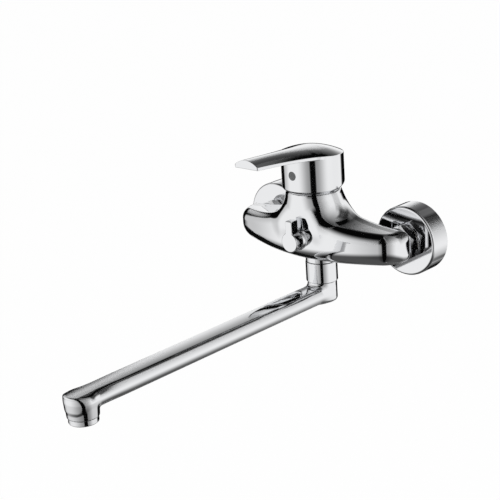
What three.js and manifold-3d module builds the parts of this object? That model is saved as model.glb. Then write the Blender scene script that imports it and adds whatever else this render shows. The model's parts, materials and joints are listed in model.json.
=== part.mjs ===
// Wall-mounted single-lever mixer tap with a diverter and a long swivelling spout.
// Millimetres, +Z up, the wall is the plane y = 0 and the user stands on the -Y side.
// The origin lies in the wall plane, midway between the two inlets.

import * as THREE from 'three';
import { mergeVertices } from 'three/addons/utils/BufferGeometryUtils.js';
import Module from 'manifold-3d';

const wasm = await Module();
wasm.setup();

// ---------------------------------------------------------------- driving dimensions

const gap = 0.3;                    // clearance between pieces that seat on each other
const runningGap = 0.4;             // clearance between pieces that turn in each other
const bite = 1;                     // how far cutting or joined solids run past a face

// inlets
const inletSpacing = 150;
const inletOffset = 8;              // how far the tail sits below the union, the eccentric's throw
const flangeRadius = 31.2;
const flangeDepth = 20.3;
const flangeWall = 1.6;
const flangeEdge = 2.2;
const flangeHubDepth = 8;
const flangeHubWall = 2;
const unionThreadRadius = 13.1;
const unionBoreRadius = 8.5;
const unionShoulder = 7;            // where the eccentric's front thread begins, from the wall
const tailThreadRadius = 10.4;
const tailBoreRadius = 7;
const tailReach = 15;               // how far the tail enters the wall
const tailOverlap = 3;
const sealThickness = 1.8;
const nutAcrossFlats = 30;
const nutHexLength = 7.3;
const nutCollarLength = 2;
const nutCollarRadius = 14.9;
const nutLip = 2.1;
const nutTurn = 22;                 // degrees, how the hexagon stands when tight
const inletPipeRadius = 9.9;
const inletPipeBore = 6.5;
const inletPipeFlange = 1.8;
const inletPipeLength = 12;

// body
const handleY = -51;                // the cartridge and handle axis
const bodyFront = -76;              // front wall on the centre line
const bodySweep = 0.0025;           // the front wall's curve, y = bodyFront + bodySweep x^2
const armEnd = 90.3;
const armEndRadius = 20.5;          // round ends, seen from above
const armEndTurn = 21;              // degrees, where the swept front runs into a round end
const armTopEnd = 14;
const armTopRise = 34;
const armTopReach = 25;
const armTopRadius = 9;
const armBottom = -16.4;
const armBottomRise = 4;            // how much higher the underside is at the ends
const armBottomRadius = 15;         // along the front
const armBottomBackRadius = 7;
const armBackRadius = 4;
const towerTopRadius = 24;
const towerTop = 45.2;
const towerFootRadius = 27;
const towerFootLength = 7;          // half the straight part of the tower's oval foot
const towerFoot = 20;
const towerBlend = 9;               // how softly the tower runs into the arms
const bossRadius = 13;              // the boss round the shower outlet
const bossTop = 6;
const bossBlend = 8;
const waterwayTurn = 4;             // from the inlet bore's end to where its waterway turns
const waterwayWall = 1.5;           // between a waterway and the diverter's bore
const riserTop = 11;                // where the risers lean in to the cartridge's ports
const bodyMesh = 5.5;               // size of the body's facets
const bodyDetail = 0.3;             // how far the facets may stray from the body's surface

// cartridge
const cartridgeRadius = 17.4;
const cartridgeFloor = 17;
const cartridgeBaseHeight = 3;
const cartridgeShoulder = 38.7;
const cartridgeNeckRadius = 12;
const cartridgeNeckHeight = 3;
const discRadius = 15.2;
const discThickness = 3.4;
const movingDiscRadius = 11.2;
const portRadius = 3.2;
const portX = 6.4;
const portY = -5;
const outletPortY = 7;
const portSealHeight = 1.6;
const portSealWall = 1.3;
const mixingWidth = 15;             // the moving disc's cavity joins the ports when lifted
const mixingLength = 10.4;
const mixingMiddle = 3.8;
const mixingDepth = 1.4;
const rotorRadius = 10.6;
const rotorHeight = 11.5;
const rotorDrop = 7;                // the rotor's underside below the pivot
const rotorSlot = 15;
const housingStep = 5.5;            // the housing's bore widens below this, from its shoulder
const housingTaper = 2;
const pivotZ = 38;
const pinRadius = 1.5;
const pinClearance = 0.2;
const pinInset = 1;
const stemSize = 7;
const stemTop = 69;
const stemFoot = 26.5;
const stemBlockDrop = 6;            // the square part's lower end below the pivot
const stemFootRadius = 2.4;
const stemFootClear = 1;
const retainerRadius = 20.2;
const retainerHeight = 5.6;
const retainerCollarRadius = 16.6;
const retainerCollarHeight = 3.4;
const retainerNotches = 6;
const retainerNotchWidth = 4;
const retainerNotchDepth = 1.2;
const capRadius = 24.3;             // the trim cap is part of a sphere about the pivot
const capWall = 1.2;
const capOpening = 17.6;
const capSeatHeight = 2;

// handle
const skirtRadius = 27.8;
const skirtWallRadius = 25.5;
const skirtLipRadius = 24.7;
const skirtLipHeight = 3.4;
const skirtBottom = 45.5;
const skirtChamfer = 2.9;
const skirtRearRise = 9;            // degrees, the rear of the lower rim rises to clear the body
const skirtRearStart = -2;
const rimHeight = 78.8;             // height of the rim on the handle axis
const rimSlope = -0.075;            // the rim and the lever's edges lie in one sloping plane
const rimStep = 0.05;               // the top overhangs the skirt by this much
const leverTipY = -135.5;
const leverTipHalfWidth = 13.2;
const leverTipRound = 0.8;
const leverSpread = 2.6;            // how late the lever widens towards the skirt
const leverJoinFacets = 3;          // the lever runs into the round this many facets off its side
const leverEdge = 2.6;
const leverCrown = 5;
const leverCrownMiddle = 6.3;
const handleRoof = 5;
const hubRadius = 8;
const hubDrop = 19;                 // the hub's lower end, above the pivot
const indexHeight = 62.7;
const indexRadius = 3.9;
const indexDepth = 1.3;
const setScrewRadius = 2.5;
const setScrewLength = 8;

// diverter
const diverterZ = 4.3;
const diverterRadius = 8.7;
const diverterLength = 36;
const spindleRadius = 4;
const diverterWall = 1.8;
const diverterNeck = 14;            // the sleeve's narrow front part
const diverterGrooves = [-5, -10];
const spindleFlat = 6;              // the closing half-round's length short of its chamber
const collarRadius = 11.5;
const collarThickness = 2.2;
const knobRadius = 8.8;
const knobLength = 8.7;
const knobEdge = 1;
const knobSocket = 6;
const tabWidth = 7;
const tabHeight = 20;
const knobScrewRadius = 1.5;
const knobScrewLength = 4;

// spout joint
const spoutY = -45.7;
const neckRadius = 14;
const neckBottom = -22.7;
const neckBore = 5;
const nippleThreadRadius = 10.3;
const nippleThreadTop = -6.5;
const neckThreadRadius = 12;
const neckThreadLength = 7;
const spigotRadius = 8;
const spigotEnd = -52;
const sealGrooveDepth = 1.5;
const sealGrooveWidth = 2.2;
const sealRingRadius = 0.75;
const sealHeights = [-42, -48];
const sealStretch = 0.15;           // play between a seal and its groove's floor
const spoutNutRadius = 14.4;
const spoutNutBottom = -41.6;
const spoutNutLip = 2.7;
const slideWasherThickness = 3.4;
const hubNeckRadius = 10.8;
const snapRingRadius = 12;
const snapRingThickness = 2;
const snapRingGroove = 0.9;
const snapRingMouth = 3;
const hubFloor = 5;                 // solid below the hub's bore, above the spout's underside

// spout
const spoutReach = 287.3;
const spoutTubeRadius = 13.3;
const spoutWidth = 22;
const spoutTop = -45.5;
const spoutBottom = -61;
const spoutCrown = 1.2;
const spoutTopEdge = 2.4;
const spoutEdge = 5;
const spoutWall = 2;
const noseFlare = 40;               // the spout widens towards its nose over this length
const noseRadius = 14.4;
const noseFootRadius = 12.9;
const noseBottom = -65.6;
const noseTopEdge = 2.4;
const noseWaterway = 8.5;
const aeratorRadius = 12.05;
const aeratorBottom = -70.5;
const aeratorThreadRadius = 11;
const aeratorThreadTop = -58.5;
const aeratorWall = 1.6;
const aeratorInsertTop = -60;
const aeratorLip = 0.8;
const aeratorLipHeight = 1.2;
const aeratorEdge = 0.6;
const aeratorHoleRadius = 0.9;
const aeratorHoleCircles = [[3, 6], [6.2, 12]];
const aeratorWasherHeight = 1.8;

// shower outlet
const showerY = -18;
const showerThreadRadius = 10.4;
const showerBottom = -31;
const showerShoulderRadius = 12.2;
const showerShoulder = 2;
const showerBore = 5;
const showerSpigotRadius = 8;
const showerSpigotTop = -8;
const showerSealThickness = 1.2;

// roundness
const fine = 32;
const medium = 20;
const coarse = 12;

// ---------------------------------------------------------------- materials

const finishes = {
  chrome: { color: 0xd9dbdf, roughness: 0.06, metalness: 1 },
  brass: { color: 0xb08d4a, roughness: 0.35, metalness: 1 },
  steel: { color: 0xa9acb0, roughness: 0.3, metalness: 1 },
  rubber: { color: 0x1c1c1e, roughness: 0.8, metalness: 0 },
  ceramic: { color: 0xf1efe8, roughness: 0.25, metalness: 0 },
  plastic: { color: 0xe9e9e6, roughness: 0.5, metalness: 0 },
  grey: { color: 0x77797c, roughness: 0.45, metalness: 0 },
};

// ---------------------------------------------------------------- geometry helpers

const radians = THREE.MathUtils.degToRad;
const polar = (radius, angle) => [radius * Math.cos(angle), radius * Math.sin(angle)];

/** Six times the signed volume of an indexed mesh. */
function signedVolume(geometry) {
  const { position } = geometry.attributes;
  const [a, b, c] = [new THREE.Vector3(), new THREE.Vector3(), new THREE.Vector3()];
  let sum = 0;
  for (let i = 0; i < geometry.index.count; i += 3) {
    a.fromBufferAttribute(position, geometry.index.getX(i));
    b.fromBufferAttribute(position, geometry.index.getX(i + 1));
    c.fromBufferAttribute(position, geometry.index.getX(i + 2));
    sum += a.dot(b.cross(c));
  }
  return sum;
}

/** Merges a geometry's shared vertices and turns its faces outwards. */
function sealed(geometry) {
  const bare = new THREE.BufferGeometry();
  bare.setAttribute('position', geometry.attributes.position);
  bare.setIndex(geometry.index);
  const merged = mergeVertices(bare, 1e-4);
  const corners = Array.from(merged.index.array);
  const kept = [];
  for (let i = 0; i < corners.length; i += 3) {
    const [a, b, c] = corners.slice(i, i + 3);
    if (a !== b && b !== c && c !== a) kept.push(a, b, c);
  }
  merged.setIndex(kept);
  if (signedVolume(merged) < 0) merged.setIndex(kept.reverse());
  return merged;
}

function toSolid(geometry) {
  const closed = sealed(geometry);
  return new wasm.Manifold(new wasm.Mesh({
    numProp: 3,
    vertProperties: new Float32Array(closed.attributes.position.array),
    triVerts: new Uint32Array(closed.index.array),
  }));
}

function toGeometry(solid) {
  const mesh = solid.getMesh();
  const geometry = new THREE.BufferGeometry();
  geometry.setAttribute('position', new THREE.BufferAttribute(mesh.vertProperties, 3));
  geometry.setIndex(new THREE.BufferAttribute(mesh.triVerts, 1));
  return sealed(geometry);
}

const join = (first, ...others) => others.reduce((sum, solid) => sum.add(solid), first);
const cut = (first, ...others) => others.reduce((rest, solid) => rest.subtract(solid), first);

/** A solid of revolution about Z from a closed outline of [radius, height] points. */
function turned(outline, segments = medium) {
  const points = [...outline, outline[0]].map(([radius, height]) => new THREE.Vector2(radius, height));
  return toSolid(new THREE.LatheGeometry(points, segments).rotateX(Math.PI / 2));
}

/** A plain round bar or disc along Z. */
function bar(radius, low, high, segments = medium) {
  const geometry = new THREE.CylinderGeometry(radius, radius, high - low, segments);
  return toSolid(geometry.rotateX(Math.PI / 2).translate(0, 0, (low + high) / 2));
}

/** A ring of rectangular section along Z. */
const ring = (inner, outer, low, high, segments = medium) =>
  turned([[inner, low], [outer, low], [outer, high], [inner, high]], segments);

/** A ring of round section, lying in a plane of constant Z. */
function roundRing(radius, thickness, height) {
  const geometry = new THREE.TorusGeometry(radius, thickness, 6, medium);
  return toSolid(geometry.translate(0, 0, height));
}

function box(width, depth, height, x = 0, y = 0, z = 0) {
  return toSolid(new THREE.BoxGeometry(width, depth, height).translate(x, y, z));
}

/** A prism along Z over a polygon given as [x, y] points. */
function prism(points, low, high) {
  const shape = new THREE.Shape(points.map(([x, y]) => new THREE.Vector2(x, y)));
  const geometry = new THREE.ExtrudeGeometry(shape, { depth: high - low, bevelEnabled: false });
  return toSolid(geometry.translate(0, 0, low));
}

/** A round bar between two points. */
function rod(radius, from, to, segments = coarse) {
  const [start, end] = [new THREE.Vector3(...from), new THREE.Vector3(...to)];
  const along = end.clone().sub(start);
  const geometry = new THREE.CylinderGeometry(radius, radius, along.length(), segments);
  const turn = new THREE.Quaternion().setFromUnitVectors(
    new THREE.Vector3(0, 1, 0), along.clone().normalize());
  geometry.applyQuaternion(turn).translate(...start.add(end).multiplyScalar(0.5).toArray());
  return toSolid(geometry);
}

/** A skin over rings of points, closed at both ends by a fan. */
function loft(rings) {
  const count = rings[0].length;
  const positions = rings.flat(2);
  const index = [];
  for (let r = 0; r + 1 < rings.length; r += 1) {
    for (let i = 0; i < count; i += 1) {
      const [a, b] = [r * count + i, r * count + (i + 1) % count];
      index.push(a, b, b + count, a, b + count, a + count);
    }
  }
  for (const [first, reversed] of [[0, true], [(rings.length - 1) * count, false]]) {
    const middle = positions.length / 3;
    const centre = [0, 1, 2].map((axis) => {
      let sum = 0;
      for (let i = 0; i < count; i += 1) sum += positions[(first + i) * 3 + axis];
      return sum / count;
    });
    positions.push(...centre);
    for (let i = 0; i < count; i += 1) {
      const [a, b] = [first + i, first + (i + 1) % count];
      index.push(...(reversed ? [b, a, middle] : [a, b, middle]));
    }
  }
  const geometry = new THREE.BufferGeometry();
  geometry.setAttribute('position', new THREE.Float32BufferAttribute(positions, 3));
  geometry.setIndex(index);
  return toSolid(geometry);
}

function piece(name, solid, finish, group) {
  const geometry = toGeometry(solid);
  geometry.computeVertexNormals();
  const mesh = new THREE.Mesh(geometry, new THREE.MeshStandardMaterial(finishes[finish]));
  mesh.name = name;
  group.add(mesh);
  return mesh;
}

/** A group whose local Z points out of the wall and whose local Y points up. */
function facingUser(x, y, z) {
  const group = new THREE.Group();
  group.position.set(x, y, z);
  group.rotation.x = Math.PI / 2;
  return group;
}

const mixer = new THREE.Group();

// ---------------------------------------------------------------- inlets

// Distances from the wall along an inlet, from the eccentric's end to the arm's end.
const nutBack = flangeDepth + 2 * gap;
const hexBack = nutBack + nutCollarLength;
const nutFront = hexBack + nutHexLength;
const inletFlangeFront = nutFront - nutLip - gap;
const sealFront = inletFlangeFront - inletPipeFlange - gap;
const unionFront = sealFront - sealThickness - gap;
const armBack = nutFront + gap;
const unionBoreClear = unionThreadRadius + gap;

function flange() {
  const hubOuter = unionBoreClear + flangeHubWall;
  const front = flangeDepth;
  const edge = Array.from({ length: 3 }, (_, i) => {
    const [x, y] = polar(flangeEdge, i * Math.PI / 4);
    return [flangeRadius - flangeEdge + x, front - flangeEdge + y];
  });
  return turned([
    [flangeRadius, 0], ...edge,
    [unionBoreClear, front], [unionBoreClear, front - flangeHubDepth],
    [hubOuter, front - flangeHubDepth], [hubOuter, front - flangeWall],
    [flangeRadius - flangeWall, front - flangeWall], [flangeRadius - flangeWall, 0],
  ], fine);
}

function eccentricUnion() {
  const down = (solid) => solid.translate([0, -inletOffset, 0]);
  const tailTop = unionShoulder + tailOverlap;
  const outside = join(bar(unionThreadRadius, unionShoulder, unionFront),
    down(bar(tailThreadRadius, -tailReach, tailTop)));
  return cut(outside, bar(unionBoreRadius, unionShoulder + bite, unionFront + bite, coarse),
    down(bar(tailBoreRadius, -tailReach - bite, tailTop + bite, coarse)));
}

function unionNut() {
  const cornerRadius = nutAcrossFlats / Math.sqrt(3);
  const corners = Array.from({ length: 6 }, (_, i) => polar(cornerRadius, radians(nutTurn + 60 * i)));
  const chamfer = cornerRadius - nutAcrossFlats / 2;
  const envelope = turned([
    [0, hexBack], [nutAcrossFlats / 2, hexBack], [cornerRadius, hexBack + chamfer / 2],
    [cornerRadius, nutFront - chamfer / 2], [nutAcrossFlats / 2, nutFront], [0, nutFront],
  ], fine);
  const outside = join(prism(corners, hexBack, nutFront).intersect(envelope),
    bar(nutCollarRadius, nutBack, hexBack + bite));
  return cut(outside, bar(unionBoreClear, nutBack - bite, nutFront - nutLip),
    bar(inletPipeRadius + gap, nutBack - bite, nutFront + bite));
}

function inletPipe() {
  const flangeBack = inletFlangeFront - inletPipeFlange;
  const flangeOuter = unionThreadRadius - gap;
  return turned([
    [inletPipeBore, flangeBack], [flangeOuter, flangeBack], [flangeOuter, inletFlangeFront],
    [inletPipeRadius, inletFlangeFront], [inletPipeRadius, armBack + inletPipeLength],
    [inletPipeBore, armBack + inletPipeLength],
  ]);
}

for (const [side, sign] of [['left', -1], ['right', 1]]) {
  const inlet = facingUser(sign * inletSpacing / 2, 0, 0);
  const sealBack = sealFront - sealThickness;
  piece(`${side}_wall_flange`, flange(), 'chrome', inlet);
  piece(`${side}_eccentric_union`, eccentricUnion(), 'brass', inlet);
  piece(`${side}_union_seal`, ring(unionBoreRadius, unionThreadRadius - gap, sealBack, sealFront),
    'rubber', inlet);
  piece(`${side}_inlet_pipe`, inletPipe(), 'brass', inlet);
  piece(`${side}_union_nut`, unionNut(), 'chrome', inlet);
  mixer.add(inlet);
}

// ---------------------------------------------------------------- body

const threadBoreRadius = retainerRadius + gap;
const cartridgeBoreRadius = cartridgeRadius + gap;
const nippleBore = nippleThreadRadius + gap;

const frontAt = (out) => bodyFront + bodySweep * out * out;

/** How far outside a rounded corner a point is, from its distances outside the two faces. */
function rounded(first, second, radius) {
  const [a, b] = [first + radius, second + radius];
  return Math.min(Math.max(a, b), 0) + Math.hypot(Math.max(a, 0), Math.max(b, 0)) - radius;
}

/** The distance outside two shapes that run softly into each other. */
function blended(first, second, reach) {
  const overlap = Math.max(reach - Math.abs(first - second), 0);
  return Math.min(first, second) - overlap * overlap / (4 * reach);
}

/** How far outside the arms a point is in plan: a swept front that turns into round ends. */
function outsidePlan(out, y) {
  const turn = radians(armEndTurn);
  const centreX = armEnd - armEndRadius;
  const centreY = frontAt(centreX + armEndRadius * Math.sin(turn)) + armEndRadius * Math.cos(turn);
  const [along, ahead] = [out - centreX, centreY - y];
  if (along * Math.cos(turn) < ahead * Math.sin(turn)) {
    return (frontAt(out) - y) / Math.hypot(1, 2 * bodySweep * out);
  }
  return ahead > 0 ? Math.hypot(along, ahead) - armEndRadius : along - armEndRadius;
}

function outsideArms(out, y, z) {
  const rise = armTopRise * Math.exp(-out / armTopReach);
  const above = (z - armTopEnd - rise) / Math.hypot(1, rise / armTopReach);
  const below = armBottom + armBottomRise * (out / armEnd) ** 2 - z;
  const plan = rounded(outsidePlan(out, y), y + armBack, armBackRadius);
  const back = THREE.MathUtils.smoothstep(y, bodyFront + armBottomRadius, handleY + armBottomRadius);
  const underside = THREE.MathUtils.lerp(armBottomRadius, armBottomBackRadius, back);
  return Math.max(rounded(plan, above, armTopRadius), rounded(plan, below, underside));
}

/** The tower is round at its top and widens along X into an oval foot. */
function outsideTower(out, y, z) {
  const down = THREE.MathUtils.clamp((towerTop - z) / (towerTop - towerFoot), 0, 1);
  const radius = towerTopRadius + (towerFootRadius - towerTopRadius) * Math.sqrt(down);
  const middle = Math.max(handleY, bodyFront + radius);
  const sideways = Math.max(out - towerFootLength * down ** 1.5, 0);
  return rounded(Math.hypot(sideways, y - middle) - radius, -z, armBottomRadius);
}

function outsideBoss(x, y, z) {
  return rounded(Math.hypot(x, Math.max(y - showerY, 0)) - bossRadius,
    Math.max(z - bossTop, handleY - y), bossRadius / 2);
}

function outsideBody([x, y, z]) {
  const out = Math.abs(x);
  const reach = 0.1 + towerBlend * THREE.MathUtils.smoothstep(out, 4, towerTopRadius);
  const main = blended(outsideArms(out, y, z), outsideTower(out, y, z), reach);
  return blended(main, outsideBoss(x, y, z), bossBlend);
}

function bodyCasting() {
  const bounds = { min: [-armEnd - 4, bodyFront - 4, armBottom - 3], max: [armEnd + 4, 4, towerTop + 8] };
  const shell = wasm.Manifold.levelSet((point) => -outsideBody(point), bounds, bodyMesh, 0)
    .trimByPlane([0, 0, -1], -towerTop).trimByPlane([0, 0, 1], armBottom).simplify(bodyDetail);
  const cartridgeBore = join(
    bar(cartridgeBoreRadius, cartridgeFloor, towerTop + bite, fine),
    bar(threadBoreRadius, cartridgeShoulder - gap, towerTop + bite, fine)).translate([0, handleY, 0]);
  const nippleSeat = bar(nippleBore, armBottom - bite, nippleThreadTop + gap).translate([0, spoutY, 0]);
  const spoutPassage = bar(neckBore, nippleThreadTop - bite, diverterZ).translate([0, spoutY, 0]);
  const showerSeat = bar(showerSpigotRadius + gap, armBottom - bite, showerSpigotTop + gap)
    .translate([0, showerY, 0]);
  const showerPassage = bar(showerBore, showerSpigotTop - bite, 0, coarse).translate([0, showerY, 0]);
  const diverterEnd = bodyFront + diverterLength;
  const diverterBore = rod(diverterRadius + gap, [0, bodyFront - bite, diverterZ],
    [0, diverterEnd + gap, diverterZ], medium);
  const showerGallery = rod(showerBore, [0, diverterEnd - bite, 0], [0, showerY, 0]);
  const mixedWater = bar(portRadius, diverterZ, cartridgeFloor + bite, coarse)
    .translate([0, handleY + outletPortY, 0]);
  const boreEnd = -armBack - inletPipeLength - gap;
  const turn = boreEnd - waterwayTurn;
  const riserY = handleY + portY;
  const inletWater = [-1, 1].flatMap((sign) => {
    const inletX = sign * inletSpacing / 2;
    const riserX = sign * (diverterRadius + portRadius + waterwayWall);
    return [
      rod(inletPipeRadius + gap, [inletX, bite - armBack, 0], [inletX, boreEnd, 0], medium),
      rod(inletPipeBore, [inletX, boreEnd + bite, 0], [inletX, turn, 0]),
      rod(inletPipeBore, [inletX, turn + bite, 0], [riserX, riserY, 0]),
      rod(portRadius, [riserX, riserY, -bite], [riserX, riserY, riserTop + bite]),
      rod(portRadius, [riserX, riserY, riserTop], [sign * portX, riserY, cartridgeFloor + bite]),
    ];
  });
  return cut(shell, cartridgeBore, nippleSeat, spoutPassage, showerSeat, showerPassage,
    diverterBore, showerGallery, mixedWater, ...inletWater);
}

piece('body_casting', bodyCasting(), 'chrome', mixer);

// ---------------------------------------------------------------- cartridge

const valve = new THREE.Group();
valve.position.set(0, handleY, 0);
mixer.add(valve);

const baseTop = cartridgeFloor + gap + cartridgeBaseHeight;
const fixedDiscTop = baseTop + gap + discThickness;
const movingDiscTop = fixedDiscTop + gap + discThickness;
const ports = [[-portX, portY], [portX, portY], [0, outletPortY]];
const portBars = (radius, low, high) => ports.map(([x, y]) =>
  bar(radius, low, high, coarse).translate([x, y, 0]));

const portPocket = portRadius + portSealWall;
piece('cartridge_base', cut(bar(cartridgeRadius, cartridgeFloor + gap, baseTop, fine),
  ...portBars(portRadius, cartridgeFloor, baseTop + bite),
  ...portBars(portPocket, cartridgeFloor, cartridgeFloor + gap + portSealHeight)), 'plastic', valve);
ports.forEach(([x, y], i) => piece(`cartridge_port_seal_${i + 1}`,
  ring(portRadius, portPocket - gap, cartridgeFloor + gap, cartridgeFloor + portSealHeight, coarse)
    .translate([x, y, 0]), 'rubber', valve));
piece('fixed_ceramic_disc', cut(bar(discRadius, baseTop + gap, fixedDiscTop, fine),
  ...portBars(portRadius, baseTop, fixedDiscTop + bite)), 'ceramic', valve);
piece('moving_ceramic_disc', cut(bar(movingDiscRadius, fixedDiscTop + gap, movingDiscTop, fine),
  box(mixingWidth, mixingLength, 2 * mixingDepth, 0, mixingMiddle, fixedDiscTop + gap),
  bar(stemFootRadius + stemFootClear, stemFoot - gap, movingDiscTop + bite, coarse)), 'ceramic', valve);

const housingTop = cartridgeShoulder + cartridgeNeckHeight;
const housingBore = rotorRadius + runningGap;
piece('cartridge_housing', turned([
  [discRadius + gap, baseTop + gap], [cartridgeRadius, baseTop + gap],
  [cartridgeRadius, cartridgeShoulder], [cartridgeNeckRadius, cartridgeShoulder],
  [cartridgeNeckRadius, housingTop], [housingBore, housingTop],
  [housingBore, cartridgeShoulder - housingStep],
  [discRadius + gap, cartridgeShoulder - housingStep - housingTaper],
]), 'plastic', valve);

const rotorBottom = pivotZ - rotorDrop;
const pinHole = pinRadius + pinClearance;
const pinEnd = rotorRadius - pinInset;
piece('cartridge_rotor', cut(bar(rotorRadius, rotorBottom, rotorBottom + rotorHeight, fine),
  box(stemSize + 2 * runningGap, rotorSlot, 3 * rotorHeight, 0, 0, pivotZ),
  rod(pinHole, [-rotorRadius - bite, 0, pivotZ], [rotorRadius + bite, 0, pivotZ])), 'plastic', valve);
piece('pivot_pin', rod(pinRadius, [-pinEnd, 0, pivotZ], [pinEnd, 0, pivotZ]), 'steel', valve);

const retainerBottom = cartridgeShoulder + gap;
const retainerTop = retainerBottom + retainerHeight;
const retainerBore = cartridgeNeckRadius + gap;
const notches = Array.from({ length: retainerNotches }, (_, i) =>
  box(retainerNotchWidth, retainerNotchWidth, 2 * retainerNotchDepth, retainerRadius, 0, retainerTop)
    .rotate([0, 0, 360 * (i + 0.5) / retainerNotches]));
piece('cartridge_retaining_nut', cut(join(
  ring(retainerBore, retainerRadius, retainerBottom, retainerTop),
  ring(retainerBore, retainerCollarRadius, retainerTop - bite, retainerTop + retainerCollarHeight)),
...notches), 'brass', valve);

function trimCap() {
  const bottom = towerTop + gap;
  const bore = retainerCollarRadius + gap;
  const inner = capRadius - capWall;
  const seatTop = bottom + capSeatHeight;
  const arc = (radius, from, to) => Array.from({ length: 4 }, (_, i) => {
    const [r, z] = polar(radius, THREE.MathUtils.lerp(from, to, i / 3));
    return [r, pivotZ + z];
  });
  const top = Math.acos(capOpening / capRadius);
  return turned([[bore, bottom],
    ...arc(capRadius, Math.asin((bottom - pivotZ) / capRadius), top),
    ...arc(inner, top, Math.asin((seatTop - pivotZ) / inner)),
    [bore, seatTop]], fine);
}

piece('trim_cap', trimCap(), 'chrome', valve);

// ---------------------------------------------------------------- handle

const handle = new THREE.Group();
handle.position.set(0, handleY, 0);
mixer.add(handle);

const skirtFacet = 2 * Math.PI / fine;
const [joinHalfWidth, joinY] = polar(skirtRadius, -leverJoinFacets * skirtFacet);
const leverTip = leverTipY - handleY;
const rim = (y) => rimHeight + rimSlope * y;

/** Half the handle's width at y, on the lever or on the round of the skirt. */
function handleHalfWidth(y) {
  if (y >= joinY) return Math.sqrt(Math.max(skirtRadius ** 2 - y ** 2, 0));
  const along = (y - leverTip) / (joinY - leverTip);
  return leverTipHalfWidth + (joinHalfWidth - leverTipHalfWidth) * along ** leverSpread;
}

/** How far the middle of the top stands above its edges. */
function crownHeight(y) {
  if (y >= 0) return leverCrownMiddle * (1 - (y / skirtRadius) ** 2);
  return leverCrownMiddle + (leverCrown - leverCrownMiddle) * (y / leverTip);
}

/** The solid between the handle's crowned top and the lever's underside. */
function handleTop() {
  const along = Array.from({ length: 8 }, (_, i) => THREE.MathUtils.lerp(leverTip, joinY, i / 8));
  const aside = Array.from({ length: fine / 4 + leverJoinFacets }, (_, i) =>
    skirtRadius * Math.sin((i - leverJoinFacets) * skirtFacet));
  const stations = [leverTip, leverTip + leverTipRound, ...along.slice(1), ...aside,
    skirtRadius - rimStep];
  const steps = 8;
  return loft(stations.map((y) => {
    const half = handleHalfWidth(y);
    const top = Array.from({ length: steps + 1 }, (_, i) => {
      const across = 1 - 2 * i / steps;
      return [half * across, y, rim(y) + crownHeight(y) * (1 - across ** 2)];
    });
    const under = rim(y) - leverEdge;
    return [...top, [-half, y, under], [half, y, under]];
  }));
}

/** A solid whose outline lies in the YZ plane, spanning X on both sides. */
function plate(points, halfWidth) {
  const shape = new THREE.Shape(points.map(([y, z]) => new THREE.Vector2(y, z)));
  const geometry = new THREE.ExtrudeGeometry(shape, { depth: 2 * halfWidth, bevelEnabled: false });
  geometry.rotateX(Math.PI / 2).rotateZ(Math.PI / 2).translate(-halfWidth, 0, 0);
  return toSolid(geometry);
}

function handleSkirt() {
  const reach = skirtRadius + bite;
  const wall = skirtRadius - rimStep;
  const seam = (y) => rim(y) - leverEdge / 2;
  const round = turned([
    [0, skirtBottom], [wall - skirtChamfer, skirtBottom], [wall, skirtBottom + skirtChamfer],
    [wall, seam(-reach)], [0, seam(-reach)],
  ], fine);
  return round.intersect(plate([[-reach, 0], [reach, 0], [reach, seam(reach)], [-reach, seam(-reach)]],
    reach));
}

function handleSolid() {
  const reach = skirtRadius + bite;
  const roof = rim(skirtRadius) - handleRoof;
  const lipTop = skirtBottom + skirtLipHeight;
  const hollow = join(bar(skirtLipRadius, skirtBottom - bite, lipTop + bite, fine),
    bar(skirtWallRadius, lipTop, roof, fine));
  const hubLow = pivotZ + hubDrop;
  const socket = stemSize + 2 * gap;
  const rise = Math.tan(radians(skirtRearRise)) * (reach - skirtRearStart);
  return cut(join(cut(join(handleTop(), handleSkirt()), hollow), bar(hubRadius, hubLow, roof + bite)),
    box(socket, socket, 2 * (stemTop + gap - hubLow), 0, 0, hubLow),
    plate([[skirtRearStart, skirtBottom], [reach, skirtBottom + rise], [reach, skirtBottom - bite],
      [skirtRearStart, skirtBottom - bite]], reach),
    rod(indexRadius + gap / 2, [0, -reach, indexHeight],
      [0, indexDepth + gap - skirtRadius, indexHeight]),
    rod(setScrewRadius + gap, [0, -skirtRadius, indexHeight], [0, 0, indexHeight]));
}

piece('handle', handleSolid(), 'chrome', handle);
const screwTip = -stemSize / 2 - 2 * gap;
piece('handle_set_screw', rod(setScrewRadius, [0, screwTip - setScrewLength, indexHeight],
  [0, screwTip, indexHeight]), 'steel', handle);
const indexPlug = rod(indexRadius, [0, -skirtRadius - bite, indexHeight],
  [0, indexDepth - skirtRadius, indexHeight]);
piece('index_plug', indexPlug.intersect(bar(skirtRadius - rimStep, skirtBottom, rimHeight, 2 * fine)),
  'grey', handle);
const stemBlockBottom = pivotZ - stemBlockDrop;
piece('lever_stem', cut(join(
  box(stemSize, stemSize, stemTop - stemBlockBottom, 0, 0, (stemTop + stemBlockBottom) / 2),
  bar(stemFootRadius, stemFoot, stemBlockBottom + bite, coarse)),
rod(pinHole, [-stemSize, 0, pivotZ], [stemSize, 0, pivotZ])), 'brass', handle);

// ---------------------------------------------------------------- diverter

const diverter = facingUser(0, bodyFront, diverterZ);
mixer.add(diverter);

const chamberRadius = diverterRadius - diverterWall;
const spindleBore = spindleRadius + runningGap;
const collarFront = gap + collarThickness;
const knobBack = collarFront + gap;
const knobFront = knobBack + knobLength;
const outletPorts = bodyFront - spoutY;

/** The outline of a seal's groove in a shaft of the given radius, from low to high. */
const sealGroove = (radius, z) => [
  [radius, z - sealGrooveWidth / 2], [radius - sealGrooveDepth, z - sealGrooveWidth / 2],
  [radius - sealGrooveDepth, z + sealGrooveWidth / 2], [radius, z + sealGrooveWidth / 2]];

/** A seal lying in such a groove. */
const sealRing = (radius, z) =>
  roundRing(radius - sealGrooveDepth + sealRingRadius + sealStretch, sealRingRadius, z);

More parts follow.
